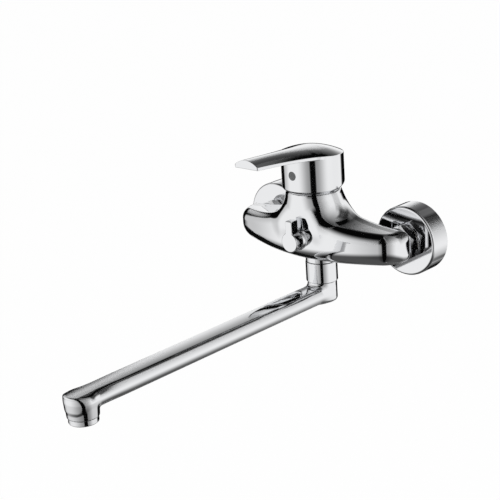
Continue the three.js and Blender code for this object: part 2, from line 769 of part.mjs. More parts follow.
const valveSleeve = turned([
  [chamberRadius, -diverterLength], [diverterRadius, -diverterLength],
  ...diverterGrooves.toReversed().flatMap((z) => sealGroove(diverterRadius, z)),
  [diverterRadius, -gap], [spindleBore, -gap], [spindleBore, -diverterNeck],
  [chamberRadius, -diverterNeck],
]);
piece('diverter_sleeve', cut(valveSleeve, rod(neckBore, [0, -diverterRadius - bite, outletPorts],
  [0, diverterRadius + bite, outletPorts])), 'brass', diverter);
diverterGrooves.forEach((z, i) => piece(`diverter_seal_${i + 1}`, sealRing(diverterRadius, z),
  'rubber', diverter));

const chamberBack = -diverterLength + bite;
const chamberFront = -diverterNeck - runningGap;
const flatLength = chamberFront - chamberBack - spindleFlat;
piece('diverter_spindle', cut(join(
  bar(spindleRadius, chamberFront - bite, knobBack + knobSocket - gap, coarse),
  bar(chamberRadius - runningGap, chamberBack, chamberFront)),
box(2 * diverterRadius, 2 * diverterRadius, flatLength, 0, -diverterRadius,
  (chamberBack + chamberFront) / 2)), 'brass', diverter);
piece('diverter_collar', ring(spindleBore, collarRadius, gap, collarFront), 'chrome', diverter);

const knobScrewHeight = knobBack + knobSocket / 2;

function diverterKnob() {
  const disc = turned([[0, knobBack], [knobRadius, knobBack], [knobRadius, knobFront - knobEdge],
    [knobRadius - knobEdge, knobFront], [0, knobFront]]);
  const tabTop = tabHeight - tabWidth / 2;
  const tab = join(box(tabWidth, tabTop, knobLength, 0, tabTop / 2, (knobBack + knobFront) / 2),
    bar(tabWidth / 2, knobBack, knobFront, coarse).translate([0, tabTop, 0]));
  return cut(join(disc, tab),
    bar(spindleRadius + gap, knobBack - bite, knobBack + knobSocket, coarse),
    rod(knobScrewRadius + gap, [0, -knobRadius - bite, knobScrewHeight], [0, 0, knobScrewHeight]));
}

piece('diverter_knob', diverterKnob(), 'chrome', diverter);
const knobScrewTip = -spindleRadius - gap;
piece('diverter_knob_screw', rod(knobScrewRadius, [0, knobScrewTip - knobScrewLength, knobScrewHeight],
  [0, knobScrewTip, knobScrewHeight]), 'steel', diverter);

// ---------------------------------------------------------------- spout joint

const outlet = new THREE.Group();
outlet.position.set(0, spoutY, 0);
mixer.add(outlet);

const neckTop = armBottom - gap;
const neckThreadBottom = neckBottom - neckThreadLength;
const spoutNutTop = neckBottom - gap;
const lipTop = spoutNutBottom + spoutNutLip;
const washerTop = neckThreadBottom - gap;
const hubTop = washerTop - slideWasherThickness - gap;
const hubBore = spigotRadius + runningGap;

piece('outlet_nipple', turned([
  [neckBore, nippleThreadTop], [nippleThreadRadius, nippleThreadTop], [nippleThreadRadius, neckTop],
  [neckRadius, neckTop], [neckRadius, neckBottom], [neckThreadRadius, neckBottom],
  [neckThreadRadius, neckThreadBottom], [spigotRadius, neckThreadBottom],
  ...sealHeights.flatMap((z) => sealGroove(spigotRadius, z).reverse()),
  [spigotRadius, spigotEnd], [neckBore, spigotEnd],
]), 'chrome', outlet);
sealHeights.forEach((z, i) => piece(`spout_seal_${i + 1}`, sealRing(spigotRadius, z),
  'rubber', outlet));
piece('spout_nut', turned([
  [neckThreadRadius + gap, spoutNutTop], [spoutNutRadius, spoutNutTop],
  [spoutNutRadius, spoutNutBottom], [hubNeckRadius + runningGap, spoutNutBottom],
  [hubNeckRadius + runningGap, lipTop], [neckThreadRadius + gap, lipTop],
], fine), 'chrome', outlet);
piece('slide_washer', ring(hubBore, neckThreadRadius - gap, washerTop - slideWasherThickness,
  washerTop), 'plastic', outlet);
const snapRingBottom = lipTop + gap;
const snapRingTop = snapRingBottom + snapRingThickness;
piece('spout_snap_ring', cut(
  ring(hubNeckRadius - snapRingGroove + gap, snapRingRadius, snapRingBottom, snapRingTop),
  box(snapRingMouth, snapRingRadius, 3 * snapRingThickness, 0, snapRingRadius, snapRingBottom)),
'steel', outlet);

// ---------------------------------------------------------------- spout

/** A quarter of a circle in the XZ plane, as [across, up] points from one axis to the next. */
function quarter(x, z, radius, first, steps) {
  return Array.from({ length: steps + 1 }, (_, i) => {
    const [dx, dz] = polar(radius, (first + i / steps) * Math.PI / 2);
    return [x + dx, z + dz];
  });
}

/** A spout section at y: a crowned top with tight edges over a rounded underside. */
function spoutSection(y, half) {
  const [top, low] = [spoutTop - spoutTopEdge, spoutBottom + spoutEdge];
  const outline = [
    ...quarter(half - spoutTopEdge, top, spoutTopEdge, 0, 2),
    ...quarter(spoutTopEdge - half, top, spoutTopEdge, 1, 2),
    ...quarter(spoutEdge - half, low, spoutEdge, 2, 3),
    ...quarter(half - spoutEdge, low, spoutEdge, 3, 3),
  ];
  outline.splice(3, 0, [0, spoutTop]);
  return outline.map(([x, z]) => [x, y, z < top ? z : z - spoutCrown * (x / half) ** 2]);
}

function spoutHalfWidth(y) {
  const near = Math.max(1 - (spoutReach + y) / noseFlare, 0);
  return spoutWidth / 2 + (noseRadius - spoutWall / 2 - spoutWidth / 2) * near ** 2;
}

function spout() {
  const grooveRadius = hubNeckRadius - snapRingGroove;
  const tubeTop = spoutNutBottom - gap;
  const column = turned([
    [0, hubTop], [hubNeckRadius, hubTop], [hubNeckRadius, snapRingTop + gap],
    [grooveRadius, snapRingTop + gap], [grooveRadius, snapRingBottom - gap],
    [hubNeckRadius, snapRingBottom - gap], [hubNeckRadius, tubeTop], [spoutTubeRadius, tubeTop],
    ...quarter(spoutTubeRadius - spoutEdge, spoutBottom + spoutEdge, spoutEdge, 3, 3).reverse(),
    [0, spoutBottom],
  ], fine);
  const flare = [1, 0.75, 0.5, 0.25, 0].map((part) => part * noseFlare - spoutReach);
  const bridge = loft([0, ...flare].map((y) => spoutSection(y, spoutHalfWidth(y))));
  const noseTop = spoutTop - spoutCrown;
  const nose = turned([
    [0, spoutTop], [noseRadius - noseTopEdge, noseTop + spoutCrown / 2], [noseRadius, noseTop - bite],
    [noseFootRadius, noseBottom], [0, noseBottom],
  ], fine).translate([0, -spoutReach, 0]);
  const washerSeat = aeratorThreadTop + aeratorWasherHeight + 2 * gap;
  const noseBores = join(bar(aeratorThreadRadius + gap, noseBottom - bite, washerSeat),
    bar(noseWaterway, noseBottom, spoutTop - 2 * spoutWall)).translate([0, -spoutReach, 0]);
  const [waterTop, waterLow] = [spoutTop - spoutCrown - spoutWall, spoutBottom + spoutWall];
  const waterway = box(spoutWidth - 2 * spoutEdge, spoutReach, waterTop - waterLow, 0,
    -spoutReach / 2, (waterTop + waterLow) / 2);
  return cut(join(column, bridge, nose), bar(hubBore, spoutBottom + hubFloor, hubTop + bite),
    waterway, noseBores);
}

const swivel = new THREE.Group();
swivel.position.copy(outlet.position);
mixer.add(swivel);
piece('spout', spout(), 'chrome', swivel);

const aerator = new THREE.Group();
aerator.position.set(0, -spoutReach, 0);
swivel.add(aerator);
const aeratorBore = aeratorThreadRadius - aeratorWall;
const aeratorFlangeTop = noseBottom - gap;
const aeratorFloor = aeratorBottom + aeratorLipHeight;
piece('aerator_housing', turned([
  [aeratorBore, aeratorThreadTop], [aeratorThreadRadius, aeratorThreadTop],
  [aeratorThreadRadius, aeratorFlangeTop], [aeratorRadius, aeratorFlangeTop],
  [aeratorRadius, aeratorBottom + aeratorEdge], [aeratorRadius - aeratorEdge, aeratorBottom],
  [aeratorBore - aeratorLip, aeratorBottom], [aeratorBore - aeratorLip, aeratorFloor],
  [aeratorBore, aeratorFloor],
], fine), 'chrome', aerator);
const aeratorHoles = [[0, 0], ...aeratorHoleCircles.flatMap(([radius, count]) =>
  Array.from({ length: count }, (_, i) => polar(radius, 2 * Math.PI * i / count)))];
piece('aerator_insert', cut(bar(aeratorBore - gap, aeratorFloor + gap, aeratorInsertTop),
  ...aeratorHoles.map(([x, y]) =>
    bar(aeratorHoleRadius, aeratorFloor, aeratorInsertTop + bite, 6).translate([x, y, 0]))),
'plastic', aerator);
piece('aerator_washer', ring(aeratorBore, aeratorThreadRadius, aeratorThreadTop + gap,
  aeratorThreadTop + gap + aeratorWasherHeight), 'rubber', aerator);

// ---------------------------------------------------------------- shower outlet

const shower = new THREE.Group();
shower.position.set(0, showerY, 0);
mixer.add(shower);
const showerSealTop = armBottom - gap;
const showerShoulderTop = showerSealTop - showerSealThickness - gap;
const showerShoulderBottom = showerShoulderTop - showerShoulder;
piece('shower_outlet', turned([
  [showerBore, showerSpigotTop], [showerSpigotRadius, showerSpigotTop],
  [showerSpigotRadius, showerShoulderTop], [showerShoulderRadius, showerShoulderTop],
  [showerShoulderRadius, showerShoulderBottom], [showerThreadRadius, showerShoulderBottom],
  [showerThreadRadius, showerBottom], [showerBore, showerBottom],
]), 'chrome', shower);
piece('shower_seal', ring(showerSpigotRadius + gap, showerShoulderRadius,
  showerSealTop - showerSealThickness, showerSealTop), 'rubber', shower);

export default mixer;
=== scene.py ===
"""A chrome wall mixer tap with a front diverter and a long swivel spout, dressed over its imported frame.

Sizes are in millimetres unless a comment says otherwise; +Z is up, the wall is the plane y = 0 and the user
stands on the -Y side. A corner of a turned outline gives its radius, its place along the axis and its round.
"""

import json
import logging
import math
from collections.abc import Callable, Iterable, Sequence
from dataclasses import dataclass, field
from enum import Enum
from typing import Any

import bpy
import numpy as np
from mathutils import Matrix, Vector

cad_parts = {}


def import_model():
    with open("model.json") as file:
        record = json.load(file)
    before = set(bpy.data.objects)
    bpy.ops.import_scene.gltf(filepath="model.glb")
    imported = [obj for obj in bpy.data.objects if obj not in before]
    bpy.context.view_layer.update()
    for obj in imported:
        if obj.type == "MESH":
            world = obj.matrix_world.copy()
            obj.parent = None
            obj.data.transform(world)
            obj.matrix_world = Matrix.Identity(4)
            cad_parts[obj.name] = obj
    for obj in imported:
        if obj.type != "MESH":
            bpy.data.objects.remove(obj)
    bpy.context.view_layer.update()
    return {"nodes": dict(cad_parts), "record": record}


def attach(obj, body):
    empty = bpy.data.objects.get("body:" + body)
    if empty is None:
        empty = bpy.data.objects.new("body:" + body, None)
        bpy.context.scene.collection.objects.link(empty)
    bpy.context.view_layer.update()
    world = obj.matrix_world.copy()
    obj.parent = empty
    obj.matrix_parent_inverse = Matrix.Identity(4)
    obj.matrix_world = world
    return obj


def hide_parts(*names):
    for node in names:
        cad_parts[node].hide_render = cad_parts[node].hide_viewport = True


LOG = logging.getLogger("mixer_tap")
MM = 0.001
TINY = 1e-9  # keeps a divisor from being 0
PROBE = 0.01  # the step over which a field's slope is measured
ON_SKIN = 0.02  # a vertex this near to a field lies on it
JOINED = 1e-3  # points this near to each other are one
SHARP = 34.0  # degrees past which an edge is sharp
UPRIGHT = Matrix.Identity(4)
TO_USER = Matrix.Rotation(math.pi / 2, 4, "X")

Array = np.ndarray
Colour = tuple[float, float, float]
Corner = tuple[float, float, float]
Field = Callable[[Array, Array, Array], Array]
Point2 = tuple[float, float]
Point3 = tuple[float, float, float]
Profile = tuple[Corner, ...]
Mesh = bpy.types.Mesh


class Body(Enum):
    """The rigid bodies that new pieces ride on."""

    FIXED = "fixed_body"
    LEVER = "lever"
    DIVERTER = "diverter_rotor"
    SPOUT = "spout_arm"


class Slot(Enum):
    """The material slots of the record."""

    CHROME = "chrome"
    BRASS = "brass"
    STEEL = "steel"
    RUBBER = "rubber"
    CERAMIC = "ceramic"
    PLASTIC = "plastic"
    GREY = "grey"


class Axis(Enum):
    """The ways that the axis of a turned piece can point."""

    UP = "up"
    OUT = "out of the wall"


class Cut(Enum):
    """What one closed mesh does to another."""

    REMOVE = "DIFFERENCE"
    ADD = "UNION"
    KEEP = "INTERSECT"


# ---------------------------------------------------------------- node trees


class Socket:
    """An output socket whose arithmetic adds Math nodes to its tree."""

    def __init__(self, tree: "Tree", link: Any) -> None:
        """Wraps a node's output socket."""
        self.tree, self.link = tree, link

    def math(self, operation: str, *others: "Socket | float") -> "Socket":
        """Adds a Math node that takes this value first."""
        return self.tree.node("ShaderNodeMath", {"operation": operation}, dict(enumerate((self, *others))))

    def __add__(self, other: "Socket | float") -> "Socket":
        """Adds two values."""
        return self.math("ADD", other)

    def __sub__(self, other: "Socket | float") -> "Socket":
        """Subtracts a value from this one."""
        return self.math("SUBTRACT", other)

    def __mul__(self, other: "Socket | float") -> "Socket":
        """Multiplies two values."""
        return self.math("MULTIPLY", other)

    def __truediv__(self, other: "Socket | float") -> "Socket":
        """Divides this value by another."""
        return self.math("DIVIDE", other)

    __radd__ = __add__
    __rmul__ = __mul__

    def rising(self, low: float, high: float) -> "Socket":
        """Steps smoothly from 0 to 1 as this value goes from low to high."""
        return self.tree.node("ShaderNodeMapRange", {"interpolation_type": "SMOOTHSTEP"},
                              {"Value": self, "From Min": low, "From Max": high})


class Tree:
    """Builds a shader or geometry node tree, one node at a time."""

    def __init__(self, nodes: Any) -> None:
        """Wraps a bpy node tree."""
        self.nodes = nodes

    def feed(self, entry: Any, value: Any) -> None:
        """Gives an input its value.

        Args:
            entry: the input socket.
            value: a plain value, or a Socket to link.
        """
        if isinstance(value, Socket):
            self.nodes.links.new(value.link, entry)
        else:
            entry.default_value = value

    def node(self, kind: str, settings: dict[str, Any] | None = None,
             inputs: dict[str | int, Any] | None = None, output: str | int = 0) -> Socket:
        """Adds one node.

        Args:
            kind: the node's type.
            settings: its properties, set before its sockets.
            inputs: values or sockets by input name or number.
            output: the name or number of the output to hand back.

        Returns:
            The chosen output.
        """
        made = self.nodes.nodes.new(kind)
        for name, value in (settings or {}).items():
            setattr(made, name, value)
        for name, value in (inputs or {}).items():
            self.feed(made.inputs[name], value)
        return Socket(self, made.outputs[output] if len(made.outputs) else None)

    def noise(self, place: Socket, scale: float, detail: float, distortion: float = 0.0) -> Socket:
        """Samples noise with so many blobs per metre, finer layers and bending, as a value about 0.5."""
        return self.node("ShaderNodeTexNoise", None, {"Vector": place, "Scale": scale, "Detail": detail,
                                                      "Distortion": distortion})

    def blend(self, amount: Socket, first: Colour, second: Colour) -> Socket:
        """Mixes two colours, with an amount of 0 for the first and 1 for the second."""
        inputs = {0: amount, 6: (*first, 1.0), 7: (*second, 1.0)}
        return self.node("ShaderNodeMix", {"data_type": "RGBA"}, inputs, 2)

    def bump(self, height: Socket, strength: float, distance: float) -> Socket:
        """Turns a pattern into a normal, as relief with a strength and a height in metres."""
        inputs = {"Strength": strength, "Distance": distance, "Height": height}
        return self.node("ShaderNodeBump", None, inputs)

    def cover(self, share: Socket | float, under: Socket, over: Socket, leave: str) -> None:
        """Ends the tree in a mix of two shaders.

        Args:
            share: how much of the upper shader shows.
            under: the lower shader.
            over: the upper shader.
            leave: the output node's type.
        """
        mixed = self.node("ShaderNodeMixShader", None, {0: share, 1: under, 2: over})
        self.node(leave, None, {"Surface": mixed})


def bare(owner: Any) -> Tree:
    """Gives a material or a world an empty node tree.

    Args:
        owner: the material or world.

    Returns:
        The tree.
    """
    owner.use_nodes = True
    owner.node_tree.nodes.clear()
    return Tree(owner.node_tree)


# ---------------------------------------------------------------- finishes


@dataclass(frozen=True)
class Finish:
    """A plain moulded finish, and the base of the others."""

    name: str
    slot: Slot
    colour: Colour
    shade: Colour
    roughness: float
    spread: float
    grain: float = 900.0
    relief: float = 0.08
    mottle: float = 60.0
    grain_height: float = 0.2 * MM

    def material(self) -> bpy.types.Material:
        """Builds the material once and hands back the same one afterwards.

        Returns:
            The material.
        """
        known = bpy.data.materials.get(self.name)
        if known:
            return known
        material = bpy.data.materials.new(self.name)
        material.use_nodes = True
        tree = Tree(material.node_tree)
        shader = material.node_tree.nodes["Principled BSDF"]
        place = tree.node("ShaderNodeTexCoord", None, None, "Object")
        for name, value in self.surface(tree, place).items():
            tree.feed(shader.inputs[name], value)
        return material

    def surface(self, tree: Tree, place: Socket) -> dict[str, Any]:
        """Says what feeds the shader.

        Args:
            tree: the material's tree.
            place: the object coordinates.

        Returns:
            Values and sockets by input name.
        """
        mottle = tree.noise(place, self.mottle, 3.0)
        grain = tree.noise(place, self.grain, 2.0)
        bump = tree.bump(grain, self.relief, self.grain_height)
        return {"Base Color": tree.blend(mottle, self.colour, self.shade),
                "Roughness": self.roughness + self.spread * (grain - 0.5) + self.spread * (mottle - 0.5),
                "Normal": bump}


@dataclass(frozen=True)
class Plated(Finish):
    """Polished chrome plate: a mirror with a faint haze and the soft ripple of polished castings."""

    haze: float = 0.02
    ripple: float = 0.02
    clouds: float = 22.0
    haze_scale: float = 420.0
    ripple_scale: float = 70.0

    def surface(self, tree: Tree, place: Socket) -> dict[str, Any]:
        """Says what feeds the shader.

        Args:
            tree: the material's tree.
            place: the object coordinates.

        Returns:
            Values and sockets by input name.
        """
        cloud = tree.noise(place, self.clouds, 3.0, 0.6)
        fine = tree.noise(place, self.haze_scale, 2.0)
        polish = tree.noise(place, self.ripple_scale, 1.0)
        bump = tree.bump(polish, self.ripple, self.grain_height)
        return {"Base Color": tree.blend(cloud, self.colour, self.shade),
                "Metallic": 1.0,
                "Roughness": self.roughness + self.spread * cloud.rising(0.42, 0.7)
                + self.haze * fine.rising(0.5, 0.75),
                "Normal": bump}


@dataclass(frozen=True)
class Machined(Finish):
    """Turned metal with fine tool marks across an axis."""

    direction: str = "Z"
    marks: float = 130.0
    mark_height: float = 0.1 * MM
    mark_gloss: float = 0.05
    stains: float = 45.0

    def surface(self, tree: Tree, place: Socket) -> dict[str, Any]:
        """Says what feeds the shader.

        Args:
            tree: the material's tree.
            place: the object coordinates.

        Returns:
            Values and sockets by input name.
        """
        marks = tree.node("ShaderNodeTexWave", {"wave_type": "BANDS", "bands_direction": self.direction},
                          {"Vector": place, "Scale": self.marks, "Distortion": 0.4, "Detail": 1.0}, 1)
        tarnish = tree.noise(place, self.stains, 4.0, 0.4)
        bump = tree.bump(marks, self.relief, self.mark_height)
        return {"Base Color": tree.blend(tarnish.rising(0.3, 0.75), self.colour, self.shade),
                "Metallic": 1.0,
                "Roughness": self.roughness + self.spread * tarnish + self.mark_gloss * marks,
                "Normal": bump}


CHROME = Plated("polished_chrome", Slot.CHROME, (0.83, 0.835, 0.845), (0.79, 0.796, 0.81), 0.035, 0.02)
BRASS = Machined("machined_brass", Slot.BRASS, (0.72, 0.53, 0.25), (0.5, 0.34, 0.15), 0.24, 0.16,
                 direction="Y")
STEEL = Machined("turned_steel", Slot.STEEL, (0.6, 0.61, 0.63), (0.42, 0.43, 0.45), 0.26, 0.12)
RUBBER = Finish("black_rubber", Slot.RUBBER, (0.022, 0.022, 0.024), (0.04, 0.04, 0.043), 0.75, 0.15,
                grain=700.0, relief=0.2)
CERAMIC = Finish("lapped_ceramic", Slot.CERAMIC, (0.88, 0.87, 0.83), (0.8, 0.79, 0.76), 0.22, 0.06,
                 grain=1500.0, relief=0.03)
PLASTIC = Finish("white_plastic", Slot.PLASTIC, (0.82, 0.82, 0.8), (0.72, 0.72, 0.71), 0.42, 0.1,
                 grain=1100.0, relief=0.06)
GREY = Finish("grey_index_plastic", Slot.GREY, (0.17, 0.175, 0.18), (0.12, 0.125, 0.13), 0.38, 0.1,
              grain=1300.0)

FINISH_OF_SLOT = {each.slot.value: each for each in (CHROME, BRASS, STEEL, RUBBER, CERAMIC, PLASTIC, GREY)}


# ---------------------------------------------------------------- fields


def rounded(first: Array, second: Array, radius: float | Array) -> Array:
    """The distance outside both of two faces, with the corner between them rounded to a radius."""
    a, b = first + radius, second + radius
    return np.minimum(np.maximum(a, b), 0) + np.hypot(np.maximum(a, 0), np.maximum(b, 0)) - radius


def blended(first: Array, second: Array, reach: float | Array) -> Array:
    """The distance outside two shapes that run softly into each other over a reach."""
    overlap = np.maximum(reach - np.abs(first - second), 0)
    return np.minimum(first, second) - overlap * overlap / (4 * reach)


def step_between(value: Array, low: float, high: float) -> Array:
    """A smooth step from 0 at the low value to 1 at the high one."""
    t = np.clip((value - low) / (high - low), 0, 1)
    return t * t * (3 - 2 * t)


def spaced(low: float, high: float, pitch: float) -> Array:
    """Evenly spaced places from low to high, about a pitch apart."""
    return np.linspace(low, high, max(2, round((high - low) / pitch) + 1))


def unit(vectors: Array) -> Array:
    """Vectors, one per row, brought to length 1."""
    return vectors / np.maximum(np.linalg.norm(vectors, axis=1, keepdims=True), TINY)


@dataclass
class Surface:
    """The places where a field is zero."""

    shape: Field

    def slope(self, points: Array) -> tuple[Array, Array]:
        """Evaluates the field and its slope.

        Args:
            points: places, one per row.

        Returns:
            The values and the gradients.
        """
        spots = points.T
        steps = np.eye(3)[:, :, None] * PROBE
        change = [self.shape(*(spots + step)) - self.shape(*(spots - step)) for step in steps]
        return self.shape(*spots), np.stack(change, axis=1) / (2 * PROBE)


@dataclass
class Skin(Surface):
    """A surface's closed quad mesh, found on a grid: a vertex in each cell that the surface passes."""

    across: Array
    along: Array
    up: Array
    steps: int = 5
    stride: float = 0.6
    flattest: float = 1e-6

    def build(self) -> tuple[Array, Array]:
        """Makes the mesh.

        Returns:
            Vertices and quads.
        """
        grid = np.stack(np.meshgrid(self.across, self.along, self.up, indexing="ij"), axis=-1)
        value = self.shape(*np.moveaxis(grid, -1, 0))
        cells = tuple(n - 1 for n in value.shape)
        total = int(np.prod(cells))
        sums, counts = np.zeros((total, 3)), np.zeros(total)
        quads: list[Array] = []
        for axis in range(3):
            points, corners = self.crossings(grid, value, axis, cells)
            for flat in corners.T:
                counts += np.bincount(flat, minlength=total)
                for part in range(3):
                    sums[:, part] += np.bincount(flat, weights=points[:, part], minlength=total)
            quads.append(corners)
        used = np.flatnonzero(counts)
        number = np.full(total, -1)
        number[used] = np.arange(len(used))
        return self.settled(sums[used] / counts[used][:, None]), number[np.concatenate(quads)]

    def crossings(self, grid: Array, value: Array, axis: int, cells: tuple[int, ...]) -> tuple[Array, Array]:
        """Finds where the surface crosses the grid's edges along one axis.

        Args:
            grid: the grid's places.
            value: the field there.
            axis: the edges' axis, from 0 to 2.
            cells: how many cells the grid has each way.

        Returns:
            The crossings, and the four cells round each, going left round the outward side.
        """
        low, high = [slice(1, -1)] * 3, [slice(1, -1)] * 3
        low[axis], high[axis] = slice(0, -1), slice(1, None)
        inside = value < 0
        first_in, last_in = inside[tuple(low)], inside[tuple(high)]
        crossing = np.argwhere(first_in != last_in)
        place = crossing + 1
        place[:, axis] -= 1
        ahead = place.copy()
        ahead[:, axis] += 1
        start, stop = value[tuple(place.T)], value[tuple(ahead.T)]
        share = (start / (start - stop))[:, None]
        points = grid[tuple(place.T)] * (1 - share) + grid[tuple(ahead.T)] * share
        corners = []
        for shifts in ((-1, -1), (0, -1), (0, 0), (-1, 0)):
            cell = place.copy()
            for turn, shift in enumerate(shifts, 1):
                cell[:, (axis + turn) % 3] += shift
            corners.append(np.ravel_multi_index(tuple(cell.T), cells))
        faces = np.stack(corners, axis=1)
        inward = ~first_in[tuple(crossing.T)]
        faces[inward] = faces[inward][:, ::-1]
        return points, faces

    def settled(self, points: Array) -> Array:
        """Moves points onto the surface.

        Args:
            points: places near it.

        Returns:
            Places on it.
        """
        reach = self.stride * max(np.diff(self.across).min(), np.diff(self.up).min())
        for _ in range(self.steps):
            distance, gradient = self.slope(points)
            square = np.maximum((gradient ** 2).sum(1), self.flattest)
            move = distance[:, None] * gradient / square[:, None]
            length = np.linalg.norm(move, axis=1, keepdims=True)
            points = points - move * np.minimum(1, reach / np.maximum(length, TINY))
        return points


# ---------------------------------------------------------------- meshes


def put(name: str, data: Any) -> bpy.types.Object:
    """Adds an object to the scene.

    Args:
        name: its name.
        data: its mesh, camera or lamp.

    Returns:
        The object.
    """
    made = bpy.data.objects.new(name, data)
    bpy.context.scene.collection.objects.link(made)
    return made


def final_mesh(owner: bpy.types.Object) -> Mesh:
    """The mesh that an object's modifiers leave."""
    return bpy.data.meshes.new_from_object(owner.evaluated_get(bpy.context.evaluated_depsgraph_get()))


def smoothed(mesh: Mesh, sharp: float) -> Mesh:
    """Shades a mesh smooth, but for edges that turn by more than an angle in degrees.

    Args:
        mesh: the mesh.
        sharp: the angle.

    Returns:
        The same mesh.
    """
    mesh.shade_smooth()
    mesh.set_sharp_from_angle(angle=math.radians(sharp))
    return mesh


def mesh_of(name: str, points: Array, faces: Iterable[Sequence[int]], normals: Array | None = None) -> Mesh:
    """Makes a smooth Blender mesh in metres.

    Args:
        name: the mesh's name.
        points: its vertices in millimetres.
        faces: vertex numbers of each face.
        normals: exact vertex normals, if they are known.

    Returns:
        The mesh.
    """
    mesh = bpy.data.meshes.new(name)
    mesh.from_pydata((np.asarray(points) * MM).tolist(), [], [tuple(map(int, face)) for face in faces])
    mesh.validate(clean_customdata=False)
    mesh.shade_smooth()
    if normals is not None:
        mesh.normals_split_custom_set_from_vertices(np.asarray(normals).tolist())
    return mesh


def piece(name: str, mesh: Mesh, finish: Finish, body: Body, *nodes: str) -> None:
    """Puts a finished mesh in the scene as a piece of the tap.

    Args:
        name: the piece's name.
        mesh: its mesh, in place.
        finish: its finish.
        body: the body it rides on.
        nodes: the CAD nodes that it stands for.
    """
    made = put(name, mesh)
    mesh.materials.clear()
    mesh.materials.append(finish.material())
    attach(made, body.value)
    if nodes:
        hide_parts(*nodes)
    LOG.info("%s: %d faces on %s", name, len(mesh.polygons), body.value)


def outline(corners: Sequence[Corner], steps: int = 6) -> tuple[list[Point2], list[Point2]]:
    """Rounds the corners of a closed outline and gives it exact normals.

    Args:
        corners: radius, height and corner radius of each corner, in order.
        steps: how many pieces each round has.

    Returns:
        The points and their outward normals.
    """
    flat, least, share = 0.01, 1e-4, 0.499
    area = sum(a[0] * b[1] - b[0] * a[1] for a, b in zip(corners, [*corners[1:], corners[0]]))
    order = list(corners) if area > 0 else list(reversed(corners))
    points: list[Point2] = []
    normals: list[Point2] = []
    for before, (x, z, radius), after in zip([order[-1], *order[:-1]], order, [*order[1:], order[0]]):
        corner = Vector((x, z))
        back, ahead = Vector((before[0] - x, before[1] - z)), Vector((after[0] - x, after[1] - z))
        room = share * min(back.length, ahead.length)
        back.normalize()
        ahead.normalize()
        into, out = Vector((-back.y, back.x)), Vector((ahead.y, -ahead.x))
        half = max(back.angle(ahead, math.pi) / 2, flat)
        length = min(radius / math.tan(half), room)
        if half > math.pi / 2 - flat or length < least:
            points.append((x, z))
            normals.append(tuple((into + out).normalized()))
            continue
        start = corner + back * length
        turn = into.angle_signed(out)
        side = 1 if turn < 0 else -1
        centre = start - into * (length * math.tan(half)) * side
        reach = (start - centre).length
        for i in range(steps + 1):
            normal = into.copy()
            normal.rotate(Matrix.Rotation(-turn * i / steps, 2))
            points.append(tuple(centre + normal * reach * side))
            normals.append(tuple(normal))
        points[-1] = tuple(corner + ahead * length)
    return points, normals


def turned(name: str, corners: Sequence[Corner], centre: Sequence[float] = (0, 0, 0), axis: Axis = Axis.UP,
           segments: int = 144) -> Mesh:
    """A ring turned from a closed outline.

    Args:
        name: the mesh's name.
        corners: radius, height along the axis and corner radius of each corner.
        centre: where the axis passes.
        axis: which way it points.
        segments: how many steps go round.

    Returns:
        The mesh.
    """
    points, normals = outline(corners)
    angle = 2 * math.pi * np.arange(segments) / segments
    cos, sin = np.cos(angle)[:, None], np.sin(angle)[:, None]

    def sweep(pairs: list[Point2]) -> Array:
        """Carries pairs of radius and height round the axis."""
        r, h = np.array(pairs).T
        across, up, out = r * cos, r * sin, np.broadcast_to(h, (segments, len(h)))
        parts = (across, up, out) if axis is Axis.UP else (across, -out, up)
        return np.stack(parts, axis=-1).reshape(-1, 3)
    faces = strip(segments, len(points), 0)
    return mesh_of(name, sweep(points) + np.array(centre), faces, sweep(normals))


def strip(count: int, size: int, gap: int) -> Array:
    """The quads between neighbouring rings of points.

    Args:
        count: how many rings there are.
        size: how many points each has.
        gap: 0 if the last ring joins the first, or 1 if it doesn't.

    Returns:
        Four point numbers a row.
    """
    ring, step = np.meshgrid(np.arange(count - gap), np.arange(size), indexing="ij")
    later, ahead = (ring + 1) % count, (step + 1) % size
    return np.stack([ring * size + step, later * size + step, later * size + ahead, ring * size + ahead],
                    axis=-1).reshape(-1, 4)


def rod(name: str, low: float, steps: Sequence[Point2], centre: Sequence[float] = (0, 0, 0),
        axis: Axis = Axis.UP, segments: int = 144) -> Mesh:
    """A solid stepped rod, mostly made to cut with.

    Args:
        name: the mesh's name.
        low: where it begins along its axis.
        steps: the radius of each step and where it ends.
        centre: where the axis passes.
        axis: which way it points.
        segments: how many steps go round.

    Returns:
        The mesh.
    """
    corners: list[Corner] = [(0.0, low, 0.0)]
    for radius, end in steps:
        corners += [(radius, corners[-1][1], 0.0), (radius, end, 0.0)]
    return turned(name, [*corners, (0.0, corners[-1][1], 0.0)], centre, axis, segments)


def read(items: Any, name: str, width: int) -> Array:
    """Reads one property of every item of a mesh into an array.

    Args:
        items: a mesh's vertices, loops, polygons or corner normals.
        name: the property.
        width: how many numbers each item holds.

    Returns:
        One row for each item.
    """
    values = np.empty(len(items) * width)
    items.foreach_get(name, values)
    return values.reshape(-1, width)


def wrapped(name: str, rings: Array, sharp: float) -> Mesh:
    """A closed mesh from rings that start and end at a pole.

    Args:
        name: the mesh's name.
        rings: ring by ring, the points of each, going round to the left seen from outside the first pole.
        sharp: the angle in degrees past which an edge is sharp.

    Returns:
        The mesh, with the points at one place joined and the faces that collapse left out.
    """
    points, size = rings.reshape(-1, 3), rings.shape[1]
    keys = np.round(points / JOINED).astype(np.int64)
    _, first, number = np.unique(keys, axis=0, return_index=True, return_inverse=True)
    kept = []
    for face in number.reshape(-1)[strip(len(rings), size, 1)].tolist():
        trimmed = [a for a, b in zip(face, face[1:] + face[:1]) if a != b]
        if len(set(trimmed)) == len(trimmed) > 2:
            kept.append(trimmed)
    return smoothed(mesh_of(name, points[first], kept), sharp)


